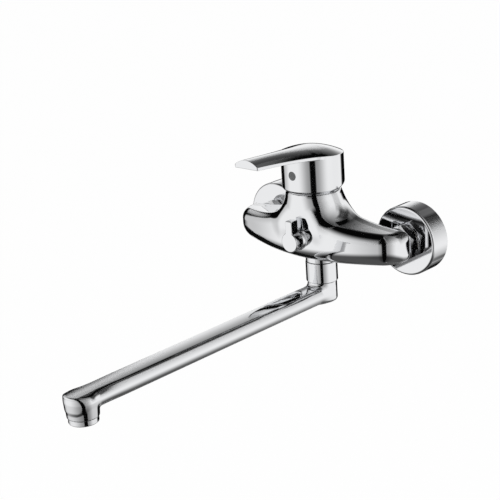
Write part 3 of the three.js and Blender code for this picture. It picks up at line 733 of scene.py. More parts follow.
def eased(path: Sequence[tuple[Array, float | Array]], steps: int = 5) -> Array:
    """Turns key rings into a run of rings with softened edges.

    Args:
        path: each key ring with how far its edge is softened to both sides, in all or point by point.
        steps: how many rings a softened edge gets.

    Returns:
        All the rings.
    """
    share = 0.49
    rings: list[Array] = [path[0][0]]
    for (before, _), (corner, soft), (after, _) in zip(path, path[1:], path[2:]):
        if np.max(soft) <= 0:
            rings.append(corner)
            continue
        back, ahead = before - corner, after - corner
        far, near = (np.linalg.norm(side, axis=1, keepdims=True) for side in (back, ahead))
        length = np.minimum(soft, share * np.minimum(far, near))
        start = corner + back * length / np.maximum(far, TINY)
        stop = corner + ahead * length / np.maximum(near, TINY)
        for t in np.linspace(0, 1, steps):
            rings.append((1 - t) ** 2 * start + 2 * t * (1 - t) * corner + t * t * stop)
    rings.append(path[-1][0])
    return np.stack(rings)


def evenly(points: Array, count: int) -> Array:
    """Spreads points evenly along a closed outline.

    Args:
        points: the outline, one point per row.
        count: how many points are wanted.

    Returns:
        The spread points.
    """
    closed = np.vstack([points, points[:1]])
    run = np.concatenate([[0], np.cumsum(np.linalg.norm(np.diff(closed, axis=0), axis=1))])
    places = np.linspace(0, run[-1], count, endpoint=False)
    return np.stack([np.interp(places, run, closed[:, axis]) for axis in (0, 1)], axis=1)


def circling(angle: Array) -> Array:
    """The places at angles round a circle of radius 1, one per row."""
    return np.stack([np.cos(angle), np.sin(angle)], axis=1)


def worked(mesh: Mesh, tools: Sequence[Mesh], cut: Cut = Cut.REMOVE,
           sharp: float = SHARP) -> Mesh:
    """Cuts closed meshes out of another, or joins them to it.

    Args:
        mesh: the mesh that is worked on, which is used up.
        tools: the meshes that work on it, which are used up too.
        cut: what each does to it.
        sharp: the angle in degrees past which an edge of the result is sharp.

    Returns:
        The new mesh.
    """
    block, *others = (put(each.name, each) for each in (mesh, *tools))
    for tool in others:
        modifier = block.modifiers.new(tool.name, "BOOLEAN")
        modifier.operation, modifier.solver, modifier.object = cut.value, "MANIFOLD", tool
    result = final_mesh(block)
    for each in (block, *others):
        used = each.data
        bpy.data.objects.remove(each)
        bpy.data.meshes.remove(used)
    return smoothed(result, sharp)


def face_normals(mesh: Mesh) -> Array:
    """The normal of its face for each corner of a mesh."""
    size = read(mesh.polygons, "loop_total", 1)[:, 0].astype(int)
    return np.repeat(read(mesh.polygons, "normal", 3), size, axis=0)


def reshaded(mesh: Mesh, chosen: Array, wanted: Array) -> Mesh:
    """Changes the normals at some corners of a mesh.

    Args:
        mesh: the mesh.
        chosen: which corners change.
        wanted: a normal for every corner.

    Returns:
        The same mesh.
    """
    normals = read(mesh.corner_normals, "vector", 3)
    normals[chosen] = wanted[chosen]
    mesh.normals_split_custom_set(normals.tolist())
    return mesh


def faced(mesh: Mesh) -> Mesh:
    """Gives the faces square to Y their own normals, so that cut flats shade flat."""
    own = face_normals(mesh)
    return reshaded(mesh, np.abs(own[:, 1]) > 0.9999, own)


def exact(mesh: Mesh, skin: Surface) -> Mesh:
    """Gives the faces that lie on a field the field's own normals.

    Args:
        mesh: a mesh that was made from the field, and perhaps cut.
        skin: the surface that they lie on.

    Returns:
        The same mesh.
    """
    least = 0.75
    value, gradient = skin.slope(read(mesh.vertices, "co", 3) / MM)
    corner = read(mesh.loops, "vertex_index", 1)[:, 0].astype(int)
    wanted = unit(gradient)[corner]
    alike = (face_normals(mesh) * wanted).sum(1) > least
    return reshaded(mesh, (np.abs(value)[corner] < ON_SKIN) & alike, wanted)


def grown(name: str, sizes: dict[str, float | int], finish: Finish,
          plan: Callable[[Tree, dict[str, Socket]], Socket]) -> Mesh:
    """Builds a geometry node tree with named sizes, and turns its result into a plain mesh.

    Args:
        name: the tree's name.
        sizes: its inputs, in metres or as counts.
        finish: what the result is made of.
        plan: adds the nodes and hands back their geometry.

    Returns:
        The mesh.
    """
    group = bpy.data.node_groups.new(name, "GeometryNodeTree")
    for label, value in sizes.items():
        kind = "NodeSocketInt" if isinstance(value, int) else "NodeSocketFloat"
        group.interface.new_socket(label, in_out="INPUT", socket_type=kind)
    group.interface.new_socket("Geometry", in_out="OUTPUT", socket_type="NodeSocketGeometry")
    tree = Tree(group)
    entry = group.nodes.new("NodeGroupInput")
    made = plan(tree, {label: Socket(tree, entry.outputs[label]) for label in sizes})
    real = tree.node("GeometryNodeRealizeInstances", None, {"Geometry": made})
    dressed = tree.node("GeometryNodeSetMaterial", None, {"Geometry": real, "Material": finish.material()})
    tree.node("NodeGroupOutput", None, {"Geometry": dressed})
    carrier = put(name, bpy.data.meshes.new(name))
    modifier = carrier.modifiers.new(name, "NODES")
    modifier.node_group = group
    for item in group.interface.items_tree:
        if item.in_out == "INPUT":
            modifier[item.identifier] = sizes[item.name]
    mesh = final_mesh(carrier)
    bpy.data.objects.remove(carrier)
    return mesh


def placed(mesh: Mesh, spot: Sequence[float], turn: Matrix = UPRIGHT) -> Mesh:
    """Turns a mesh in metres and moves it to a spot in millimetres."""
    mesh.transform(Matrix.Translation(Vector(spot) * MM) @ turn)
    return smoothed(mesh, SHARP)


def ridge(name: str, radius: float, pitch: float, length: float, finish: Finish) -> Mesh:
    """A screw thread's ridge, winding up from the origin.

    Args:
        name: the thread's name.
        radius: its crest.
        pitch: from one turn to the next.
        length: how far it winds.
        finish: what it is made of.

    Returns:
        The mesh, with its axis upright.
    """
    thickness = 0.47  # half of it, as a share of the pitch

    def plan(tree: Tree, size: dict[str, Socket]) -> Socket:
        """Sweeps a square ridge on its corner along a helix."""
        half = size["Pitch"] * thickness
        path = tree.node("GeometryNodeCurveSpiral", None, {
            "Resolution": 48, "Rotations": size["Length"] / size["Pitch"], "Height": size["Length"],
            "Start Radius": size["Crest"] - half, "End Radius": size["Crest"] - half})
        upright = tree.node("GeometryNodeSetCurveNormal", {"mode": "Z_UP"}, {"Curve": path})
        section = tree.node("GeometryNodeCurvePrimitiveCircle", None, {"Resolution": 4, "Radius": half})
        return tree.node("GeometryNodeCurveToMesh", None, {
            "Curve": upright, "Profile Curve": section, "Fill Caps": True})
    return grown(name, {"Crest": radius * MM, "Pitch": pitch * MM, "Length": length * MM}, finish, plan)


# ---------------------------------------------------------------- the tap


@dataclass
class Inlet:
    """One side's connection to the wall: flange, eccentric union and union nut."""

    side: str
    sign: int
    spacing: float = 150.0
    drop: float = 8.0
    flange_radius: float = 31.2
    flange_depth: float = 20.3
    flange_wall: float = 1.6
    flange_edge: float = 2.2
    hub_depth: float = 8.0
    hub_wall: float = 2.0
    union_radius: float = 13.1
    union_bore: float = 8.5
    union_back: float = 7.0
    union_front: float = 23.6
    tail_radius: float = 10.4
    tail_bore: float = 7.0
    tail_length: float = 15.0
    tail_overlap: float = 3.0
    thread_height: float = 0.8
    thread_pitch: float = 1.81
    thread_end: float = 0.7
    nut_flats: float = 30.0
    nut_back: float = 20.9
    nut_collar: float = 2.0
    nut_hexagon: float = 7.3
    nut_lip: float = 2.1
    nut_turn: float = 22.0
    nut_chamfer: float = 0.6
    nut_round: float = 0.5
    chamfer_angle: float = 30.0
    nut_sharp: float = 18.0
    pipe_radius: float = 9.9
    gap: float = 0.3
    beyond: float = 1.0  # how far a cutter stands out of what it cuts
    segments: int = 96
    flange_segments: int = 192

    def centre(self) -> Point3:
        """Where the inlet's axis meets the wall."""
        return self.sign * self.spacing / 2, 0.0, 0.0

    def flange(self) -> Mesh:
        """The wall flange, a shallow cup with a rolled front edge and an inner collar.

        Returns:
            Its mesh.
        """
        bore, front, wall = self.union_radius + self.gap, self.flange_depth, self.flange_wall
        hub, hub_back = bore + self.hub_wall, front - self.hub_depth
        return turned(f"{self.side}_flange", [
            (self.flange_radius, 0.0, 0.3), (self.flange_radius, front, self.flange_edge), (bore, front, 0.5),
            (bore, hub_back, 0.3), (hub, hub_back, 0.3), (hub, front - wall, 0.8),
            (self.flange_radius - wall, front - wall, 0.8), (self.flange_radius - wall, 0.0, 0.3),
        ], self.centre(), Axis.OUT, self.flange_segments)

    def union(self) -> Mesh:
        """The eccentric union: the front screw and, set lower, the tail that enters the wall.

        Returns:
            Its mesh.
        """
        x, back, end = self.centre()[0], self.union_back, -self.tail_length
        root, upper, lower = self.tail_radius - self.thread_height, (x, 0, 0), (x, 0, -self.drop)
        front = turned(f"{self.side}_union", [
            (0.0, self.union_front, 0.0), (self.union_radius, self.union_front, 0.5),
            (self.union_radius, back, 0.6), (0.0, back, 0.0)], upper, Axis.OUT, self.segments)
        way = rod(f"{self.side}_union_bore", back + self.beyond,
                  [(self.union_bore, self.union_front + self.beyond)], upper, Axis.OUT, self.segments)
        tail = turned(f"{self.side}_tail", [
            (0.0, end, 0.0), (root, end, 0.5), (root, back + self.tail_overlap, 0.1),
            (0.0, back + self.tail_overlap, 0.0)], lower, Axis.OUT, self.segments)
        bore = rod(f"{self.side}_tail_bore", end - self.beyond, [(self.tail_bore, back + 2 * self.beyond)],
                   lower, Axis.OUT, self.segments)
        mesh = worked(worked(front, [tail], Cut.ADD), [bore, way])
        for radius, drop, outward in ((self.union_radius, 0.0, 1), (self.union_bore, 0.0, -1),
                                      (root, self.drop, 1), (self.tail_bore, self.drop, -1)):
            skin = Surface(lambda along, _, up: outward * (np.hypot(along - x, up + drop) - radius))
            mesh = exact(mesh, skin)
        return faced(mesh)

    def thread(self) -> Mesh:
        """The tail's pipe thread.

        Returns:
            Its mesh.
        """
        start = self.tail_length - self.thread_height
        mesh = ridge(f"{self.side}_tail_thread", self.tail_radius, self.thread_pitch,
                     start - self.thread_end, BRASS)
        return placed(mesh, (self.centre()[0], start, -self.drop), TO_USER)

    def hexagon(self, back: float, front: float) -> Mesh:
        """The nut's hexagon with chamfered corners.

        Args:
            back: how far from the wall it begins.
            front: how far from the wall it ends.

        Returns:
            Its mesh.
        """
        centre, corner, flat = self.centre(), self.nut_flats / math.sqrt(3), self.nut_flats / 2
        turns = [math.radians(self.nut_turn + 60 * i) for i in range(6)]
        corners = [(corner * math.cos(a), corner * math.sin(a), self.nut_round) for a in turns]
        plan = np.array(outline(corners)[0])

        def ring(depth: float, size: float = 1.0) -> Array:
            """One ring of the hexagon at a depth from the wall, or its middle where size is 0."""
            across, up = plan.T * size
            return np.stack([across + centre[0], np.full(len(plan), -depth), up], axis=1)
        start, face = back - 0.5, flat - self.nut_chamfer
        rings = np.stack([ring(start, 0.0), ring(start), ring(front), ring(front, 0.0)])
        prism = wrapped(f"{self.side}_hexagon", rings, 20.0)
        drop = (corner - face) * math.tan(math.radians(self.chamfer_angle))
        cone = turned(f"{self.side}_chamfer", [
            (0.0, back, 0.0), (face, back, 0.0), (corner, back + drop, 0.0), (corner, front - drop, 0.0),
            (face, front, 0.0), (0.0, front, 0.0)], centre, Axis.OUT)
        return worked(prism, [cone], Cut.KEEP, self.nut_sharp)

    def nut(self) -> Mesh:
        """The union nut: a hexagon in front of a round collar, bored through.

        Returns:
            Its mesh.
        """
        centre, back = self.centre(), self.nut_back + self.nut_collar
        front, join, rim = back + self.nut_hexagon, back + 0.4, self.nut_flats / 2 - 0.1
        collar = turned(f"{self.side}_collar", [
            (0.0, self.nut_back, 0.0), (rim, self.nut_back, 0.4), (rim, join, 0.0), (0.0, join, 0.0)],
            centre, Axis.OUT)
        hollow = rod(f"{self.side}_nut_bore", self.nut_back - self.beyond, [
            (self.union_radius + self.gap, front - self.nut_lip),
            (self.pipe_radius + self.gap, front + self.beyond)], centre, Axis.OUT)
        solid = worked(self.hexagon(back, front), [collar], Cut.ADD, self.nut_sharp)
        return faced(worked(solid, [hollow], sharp=self.nut_sharp))

    def build(self) -> None:
        """Builds and dresses the side's pieces."""
        side = self.side
        piece(f"{side}_flange_shell", self.flange(), CHROME, Body.FIXED, f"{side}_wall_flange")
        piece(f"{side}_union_body", self.union(), BRASS, Body.FIXED, f"{side}_eccentric_union")
        piece(f"{side}_union_thread", self.thread(), BRASS, Body.FIXED)
        piece(f"{side}_hexagon_nut", self.nut(), CHROME, Body.FIXED, f"{side}_union_nut")


@dataclass
class Casting:
    """The body: two swept arms, a round tower and a boss for the hose, run together softly.

    Its fields take "out", the distance from the middle to either side, or places x, y and z, and hand back
    distances outside a form.
    """

    handle_y: float = -51.0
    front: float = -76.0
    sweep: float = 0.0025
    end: float = 90.3
    end_radius: float = 20.5
    end_turn: float = 21.0
    top_end: float = 14.0
    top_rise: float = 34.0
    top_reach: float = 25.0
    top_radius: float = 9.0
    top_ridge: float = -45.0
    top_fall: float = 2.2
    top_lift: float = 1.0
    bottom: float = -16.4
    bottom_rise: float = 4.0
    bottom_radius: float = 15.0
    bottom_back_radius: float = 7.0
    back: float = -30.5
    back_radius: float = 4.0
    tower_radius: float = 24.0
    tower_top: float = 45.2
    foot_radius: float = 27.0
    foot_length: float = 7.0
    foot: float = 20.0
    tower_blend: float = 9.0
    crease: float = 0.1
    crease_half: float = 4.0
    boss_y: float = -18.0
    boss_radius: float = 13.0
    boss_top: float = 6.0
    boss_blend: float = 8.0
    rim_edge: float = 0.3
    base_edge: float = 0.25
    cutters: tuple[tuple[str, Axis, Point3, float, tuple[Point2, ...], int], ...] = (
        ("cartridge_bore", Axis.UP, (0, -51.0, 0), 17.0, ((17.7, 38.7), (20.5, 47.0)), 144),
        ("left_inlet_bore", Axis.OUT, (-75.0, 0, 0), 28.0, ((10.2, 42.8),), 72),
        ("right_inlet_bore", Axis.OUT, (75.0, 0, 0), 28.0, ((10.2, 42.8),), 72),
        ("diverter_bore", Axis.OUT, (0, 0, 4.3), 39.7, ((9.0, 78.0),), 72),
        ("nipple_bore", Axis.UP, (0, -45.7, 0), -18.0, ((10.6, -6.2),), 72),
        ("hose_bore", Axis.UP, (0, -18.0, 0), -18.0, ((8.3, -7.7),), 72))
    pitch: float = 0.85
    margin: float = 2.0

    def front_at(self, out: float | Array) -> float | Array:
        """The front wall's place at a distance from the middle."""
        return self.front + self.sweep * out * out

    def plan(self, out: Array, y: Array) -> Array:
        """The distance outside the arms as seen from above."""
        turn = math.radians(self.end_turn)
        centre_x = self.end - self.end_radius
        front = self.front_at(centre_x + self.end_radius * math.sin(turn))
        along, ahead = out - centre_x, front + self.end_radius * math.cos(turn) - y
        swept = (self.front_at(out) - y) / np.hypot(1, 2 * self.sweep * out)
        rounded_end = np.where(ahead > 0, np.hypot(along, ahead) - self.end_radius, along - self.end_radius)
        return np.where(along * math.cos(turn) < ahead * math.sin(turn), swept, rounded_end)

    def arms(self, out: Array, y: Array, z: Array) -> Array:
        """The distance outside the arms."""
        rise = self.top_rise * np.exp(-out / self.top_reach)
        fall = self.top_fall * np.clip((self.top_ridge - y) / (self.top_ridge - self.front), 0, 1) ** 2
        lift = self.top_lift * np.clip((y - self.top_ridge) / (self.back - self.top_ridge), 0, 1)
        above = (z - self.top_end - rise + fall - lift) / np.hypot(1, rise / self.top_reach)
        below = self.bottom + self.bottom_rise * (out / self.end) ** 2 - z
        plan = rounded(self.plan(out, y), y - self.back, self.back_radius)
        rear = step_between(y, self.front + self.bottom_radius, self.handle_y + self.bottom_radius)
        underside = self.bottom_radius + (self.bottom_back_radius - self.bottom_radius) * rear
        return np.maximum(rounded(plan, above, self.top_radius), rounded(plan, below, underside))

    def tower(self, out: Array, y: Array, z: Array) -> Array:
        """The distance outside the tower."""
        down = np.clip((self.tower_top - z) / (self.tower_top - self.foot), 0, 1)
        radius = self.tower_radius + (self.foot_radius - self.tower_radius) * np.sqrt(down)
        middle = np.maximum(self.handle_y, self.front + radius)
        sideways = np.maximum(out - self.foot_length * down ** 1.5, 0)
        return rounded(np.hypot(sideways, y - middle) - radius, -z, self.bottom_radius)

    def boss(self, x: Array, y: Array, z: Array) -> Array:
        """The distance outside the hose outlet's boss."""
        side = np.hypot(x, np.maximum(y - self.boss_y, 0)) - self.boss_radius
        return rounded(side, np.maximum(z - self.boss_top, self.handle_y - y), self.boss_radius / 2)

    def shape(self, x: Array, y: Array, z: Array) -> Array:
        """The distance outside the whole casting."""
        out = np.abs(x)
        reach = self.crease + self.tower_blend * step_between(out, self.crease_half, self.tower_radius)
        main = blended(self.arms(out, y, z), self.tower(out, y, z), reach)
        whole = blended(main, self.boss(x, y, z), self.boss_blend)
        return rounded(rounded(whole, z - self.tower_top, self.rim_edge), self.bottom - z, self.base_edge)

    def build(self) -> None:
        """Builds and dresses the casting."""
        rear, margin = self.boss_y + self.boss_radius, self.margin
        skin = Skin(self.shape, *(spaced(*ends, self.pitch) for ends in (
            (-self.end - margin, self.end + margin), (self.front - margin, rear + 3 * margin),
            (self.bottom - margin, self.tower_top + margin))))
        bores = [rod(name, low, steps, centre, axis, count)
                 for name, axis, centre, low, steps, count in self.cutters]
        mesh = worked(mesh_of("casting", *skin.build()), bores)
        piece("body_shell", exact(mesh, skin), CHROME, Body.FIXED, "body_casting")


@dataclass
class TrimCap:
    """The domed cap over the cartridge's nut."""

    axis_y: float = -51.0
    pivot: float = 38.0
    radius: float = 24.3
    wall: float = 1.2
    opening: float = 17.6
    bottom: float = 45.5
    seat: float = 2.0
    bore: float = 16.9
    lip: float = 0.7
    edge: float = 0.3
    rim_edge: float = 0.4
    facet_round: float = 6.0
    steps: int = 9

    def arc(self, radius: float, low: float, high: float, edge: float) -> list[Corner]:
        """Finds the corners of a dome's outline between two heights.

        Args:
            radius: the dome's radius.
            low: the lower height.
            high: the upper height.
            edge: how round its two ends are.

        Returns:
            The corners, from the lowest to the highest.
        """
        first, last = (math.asin((z - self.pivot) / radius) for z in (low, high))
        corners = [(radius * math.cos(a), self.pivot + radius * math.sin(a), self.facet_round)
                   for a in np.linspace(first, last, self.steps)]
        return [(*corners[0][:2], edge), *corners[1:-1], (*corners[-1][:2], edge)]

    def build(self) -> None:
        """Builds and dresses the cap."""
        top = self.pivot + math.sqrt(self.radius ** 2 - self.opening ** 2)
        seat = self.bottom + self.seat
        corners = [(self.bore, self.bottom, self.edge),
                   *self.arc(self.radius, self.bottom, top, self.rim_edge),
                   *self.arc(self.radius - self.wall, seat, top - self.lip, self.edge)[::-1],
                   (self.bore, seat, self.edge)]
        piece("trim_dome", turned("trim_dome", corners, (0, self.axis_y, 0)), CHROME, Body.FIXED, "trim_cap")


@dataclass
class Handle:
    """The lever handle: a round skirt under a crowned top that runs out into the lever."""

    axis_y: float = -51.0
    radius: float = 27.78
    wall_radius: float = 25.5
    lip_radius: float = 24.7
    bottom: float = 45.5
    chamfer: float = 2.9
    lip_top: float = 52.5
    rear_rise: float = 9.0
    rear_start: float = -2.0
    rim_height: float = 78.8
    rim_slope: float = -0.075
    tip: float = -84.4
    tip_half: float = 13.1
    tip_corner: float = 1.2
    join: float = -15.44
    join_half: float = 23.11
    join_fade: float = 12.0
    join_end: float = 7.0
    spread: float = 2.6
    join_blend: float = 2.5
    edge: float = 2.6
    crown_tip: float = 5.0
    crown_middle: float = 6.3
    roof: float = 5.0
    hub_radius: float = 8.0
    hub_bottom: float = 57.0
    socket: float = 3.8
    socket_top: float = 69.3
    index_height: float = 62.7
    index_radius: float = 3.9
    index_gap: float = 0.15
    index_depth: float = 1.6
    index_back: float = 1.25
    index_sink: float = 0.06
    index_points: int = 64
    screw_radius: float = 2.8
    rim_inset: float = 0.9
    soft_from: float = -22.0
    soft_to: float = 8.0
    sharp: float = 30.0
    points: int = 320
    flank_points: int = 400
    bow_points: int = 300
    crown_rings: int = 44

    def half_width(self, y: Array) -> Array:
        """Finds half the handle's width.

        Args:
            y: places along the lever, from its axis.

        Returns:
            The half width at each.
        """
        y = np.clip(y, self.tip, self.radius)
        along = np.clip((y - self.tip) / (self.join - self.tip), 0, 1)
        lever = self.tip_half + (self.join_half - self.tip_half) * along ** self.spread
        fade = step_between(y, self.join, self.join + self.join_fade)
        bow = np.sqrt(np.maximum(self.radius ** 2 - y ** 2, 0))
        overlap = np.maximum(self.join_blend - np.abs(lever - bow), 0) * (1 - fade)
        both = np.maximum(lever, bow) + overlap ** 2 / (4 * self.join_blend)
        return np.where(y > self.join + self.join_fade / 2, bow, both)

    def top(self, x: Array, y: Array) -> Array:
        """Finds the height of the crowned top.

        Args:
            x: places across the handle.
            y: places along it.

        Returns:
            The height at each.
        """
        rim = self.rim_height + self.rim_slope * y
        rear = self.crown_middle * (1 - (x ** 2 + y ** 2) / self.radius ** 2)
        crown = self.crown_middle + (self.crown_tip - self.crown_middle) * np.clip(y / self.tip, 0, 1) ** 2
        front = crown * (1 - (x / np.maximum(self.half_width(y), 1)) ** 2)
        return rim + np.maximum(np.where(y > 0, rear, front), 0)

    def plan(self) -> Array:
        """Draws the outline seen from above, to the left from the lever's tip.

        Returns:
            Its points, one per row.
        """
        side = np.linspace(self.tip, self.join + self.join_end, self.flank_points)
        flank = np.stack([self.half_width(side), side], axis=1)
        turn = np.linspace(math.atan2(*flank[-1, ::-1]), math.pi / 2, self.bow_points)[1:]
        bow = self.radius * circling(turn)
        tip = np.array(outline([(0, self.tip, 0), (self.tip_half, self.tip, self.tip_corner),
                                (self.tip_half, 0, 0), (0, 0, 0)])[0])
        tip = tip[(tip[:, 1] < self.tip + 2) & (tip[:, 0] > 0.5)]
        tip = tip[np.argsort(np.arctan2(tip[:, 1], tip[:, 0]))]
        flank = flank[flank[:, 1] > self.tip + self.tip_corner + 0.1]
        right = np.vstack([[[0, self.tip]], tip, flank, bow])
        return evenly(np.vstack([right, right[1:-1][::-1] * (-1, 1)]), self.points)

    def rings(self) -> Array:
        """Draws the casting's rings: over the crowned top, down the skirt and up inside to the hub's socket.

        Returns:
            The rings, round the handle's axis.
        """
        plan = self.plan()
        ray = circling(np.arctan2(plan[:, 1], plan[:, 0]))
        reach = np.hypot(*plan.T)
        skirt = np.minimum(self.radius, reach)
        under = self.rim_height + self.rim_slope * plan[:, 1] - self.edge
        rise = math.tan(math.radians(self.rear_rise))
        low = self.bottom + np.maximum(self.radius * ray[:, 1] - self.rear_start, 0) * rise
        ceiling = self.rim_height + self.rim_slope * self.radius - self.roof
        square = self.socket / np.maximum(np.abs(ray[:, 0]), np.abs(ray[:, 1]))

        def ring(flat: Array | float, height: Array | float) -> Array:
            """A ring from radii along the rays, or from places seen from above."""
            spots = flat if np.ndim(flat) == 2 else ray * np.broadcast_to(flat, len(ray))[:, None]
            return np.column_stack([spots, np.broadcast_to(height, len(ray))])
        path = []
        for share in np.concatenate([[0], np.linspace(0.03, 1, self.crown_rings) ** 0.8]):
            spots = plan * ((1 - self.rim_inset / np.maximum(reach, 1)) * share)[:, None]
            path.append((ring(spots, self.top(*spots.T)), 0.0))
        softness = 0.5 + 1.5 * step_between(plan[:, 1], self.soft_from, self.soft_to)[:, None]
        path += [(ring(plan, self.top(*plan.T)), softness), (ring(plan, under), 0.45),
                 (ring(skirt, self.rim_height + self.rim_slope * skirt * ray[:, 1] - self.edge), 2.0)]
        path += [(ring(flat, height), soft) for flat, height, soft in (
            (skirt, low + self.chamfer, 0.7), (self.radius - self.chamfer, low, 0.12),
            (self.lip_radius, low, 0.0), (self.lip_radius, self.lip_top, 0.0),
            (self.wall_radius, self.lip_top, 0.0), (self.wall_radius, ceiling, 1.0),
            (self.hub_radius, ceiling, 1.0), (self.hub_radius, self.hub_bottom, 0.5),
            (square, self.hub_bottom, 0.0), (square, self.socket_top, 0.0), (0.0, self.socket_top, 0.0))]
        return eased(path)

    def shell(self) -> Mesh:
        """The casting, with the index plug's recess and the way to the set screw.

        Returns:
            Its mesh.
        """
        mesh = wrapped("lever_handle", self.rings() + (0, self.axis_y, 0), self.sharp)
        spot, face = (0, 0, self.index_height), self.radius - self.axis_y
        recess = rod("index_recess", face - self.index_depth,
                     [(self.index_radius + self.index_gap, face + 2)], spot, Axis.OUT, self.index_points)
        way = rod("screw_way", -self.axis_y, [(self.screw_radius, face - 1)], spot, Axis.OUT, 48)
        skirt = Surface(lambda x, y, z: np.hypot(x, y - self.axis_y) - self.radius)
        return exact(worked(mesh, [recess, way], sharp=self.sharp), skirt)

    def plug(self) -> Mesh:
        """The index plug, whose face follows the skirt.

        Returns:
            Its mesh.
        """
        circle = circling(np.linspace(0, 2 * math.pi, self.index_points, endpoint=False))
        back = np.full(self.index_points, self.axis_y - self.radius + self.index_back)

        def ring(share: float, front: bool = True) -> Array:
            """A ring on the plug's face or its flat back, at a share of its radius."""
            x, z = (self.index_radius * share * circle).T
            bow = self.axis_y - np.sqrt(self.radius ** 2 - x ** 2) + self.index_sink
            return np.stack([x, bow if front else back, self.index_height + z], axis=1)
        path = [(ring(share), 0.0) for share in (0, 0.3, 0.6, 0.85)]
        path += [(ring(1), 0.35), (ring(1, False), 0.2), (ring(0, False), 0.0)]
        return wrapped("index", eased(path), 40.0)

    def build(self) -> None:
        """Builds and dresses the handle."""
        piece("lever_casting", self.shell(), CHROME, Body.LEVER, "handle")
        piece("index_button", self.plug(), GREY, Body.LEVER, "index_plug")


@dataclass
class Diverter:
    """The diverter's collar and its knob with an upright tab."""

    front: float = -76.0
    height: float = 4.3
    collar_bore: float = 4.4
    collar_radius: float = 8.8
    collar_foot: float = 9.6
    collar_back: float = -0.25
    collar_step: float = 0.25
    collar_front: float = 2.6
    knob_back: float = 2.8
    knob_front: float = 11.5
    knob_radius: float = 8.8
    knob_edge: float = 1.0
    bore: float = 4.3
    bore_depth: float = 6.0
    tab_half: float = 3.4
    tab_height: float = 19.4
    tab_corner: float = 3.0
    tab_blend: float = 2.0
    screw_radius: float = 1.8
    sharp: float = 30.0
    samples: int = 6000
    points: int = 240

    def knob_reach(self, angle: Array) -> Array:
        """How far the knob reaches in a direction, with 0 to the side and a quarter turn up.

        Args:
            angle: directions in radians.

        Returns:
            The reach in each.
        """
        along, aside = np.sin(angle), np.abs(np.cos(angle))
        straight, top = self.tab_half / np.maximum(aside, 1e-6), self.tab_height / np.maximum(along, 1e-6)
        corner = np.maximum(self.tab_corner - np.abs(straight - top), 0) ** 2 / (4 * self.tab_corner)
        tab = np.where(along > 0, np.minimum(straight, top) - corner, 0)
        overlap = np.maximum(self.tab_blend - np.abs(tab - self.knob_radius), 0)
        return np.maximum(tab, self.knob_radius) + overlap ** 2 / (4 * self.tab_blend)

    def knob(self) -> Mesh:
        """The knob, with a bore for its spindle and a way for its screw.

        Returns:
            Its mesh.
        """
        angle = np.linspace(0, 2 * math.pi, self.samples, endpoint=False)
        plan = evenly(self.knob_reach(angle)[:, None] * circling(angle), self.points)
        circle = circling(np.arctan2(plan[:, 1], plan[:, 0]))
        deep = self.knob_back + self.bore_depth

        def ring(flat: Array, out: float) -> Array:
            """A ring at a distance in front of the body."""
            across, up = flat.T
            return np.stack([across, np.full(len(flat), self.front - out), self.height + up], axis=1)
        path = [(ring(flat, out), soft) for flat, out, soft in (
            (circle * 0, deep, 0.0), (circle * self.bore, deep, 0.0),
            (circle * self.bore, self.knob_back, 0.3), (plan, self.knob_back, 0.4),
            (plan, self.knob_front, self.knob_edge), (plan * 0.8, self.knob_front, 0.0),
            (plan * 0.55, self.knob_front, 0.0), (plan * 0.3, self.knob_front, 0.0),
            (circle * 0, self.knob_front, 0.0))]
        mesh = wrapped("knob", eased(path)[:, ::-1], self.sharp)
        way = rod("knob_screw_way", self.height - self.knob_radius - 1, [(self.screw_radius, self.height)],
                  (0, self.front - self.knob_back - self.bore_depth / 2, 0), segments=40)
        return worked(mesh, [way], sharp=self.sharp)

    def collar(self) -> Mesh:
        """The collar, whose wider foot covers the body's bore.

        Returns:
            Its mesh.
        """
        back, step, front = (place - self.front
                             for place in (self.collar_back, self.collar_step, self.collar_front))
        return turned("collar", [
            (self.collar_bore, back, 0.1), (self.collar_foot, back, 0.0), (self.collar_foot, step, 0.2),
            (self.collar_radius, front, 0.3), (self.collar_bore, front, 0.2)], (0, 0, self.height), Axis.OUT)

    def build(self) -> None:
        """Builds and dresses the diverter's outside."""
        piece("diverter_rosette", self.collar(), CHROME, Body.FIXED, "diverter_collar")
        piece("diverter_tab_knob", self.knob(), CHROME, Body.DIVERTER, "diverter_knob")


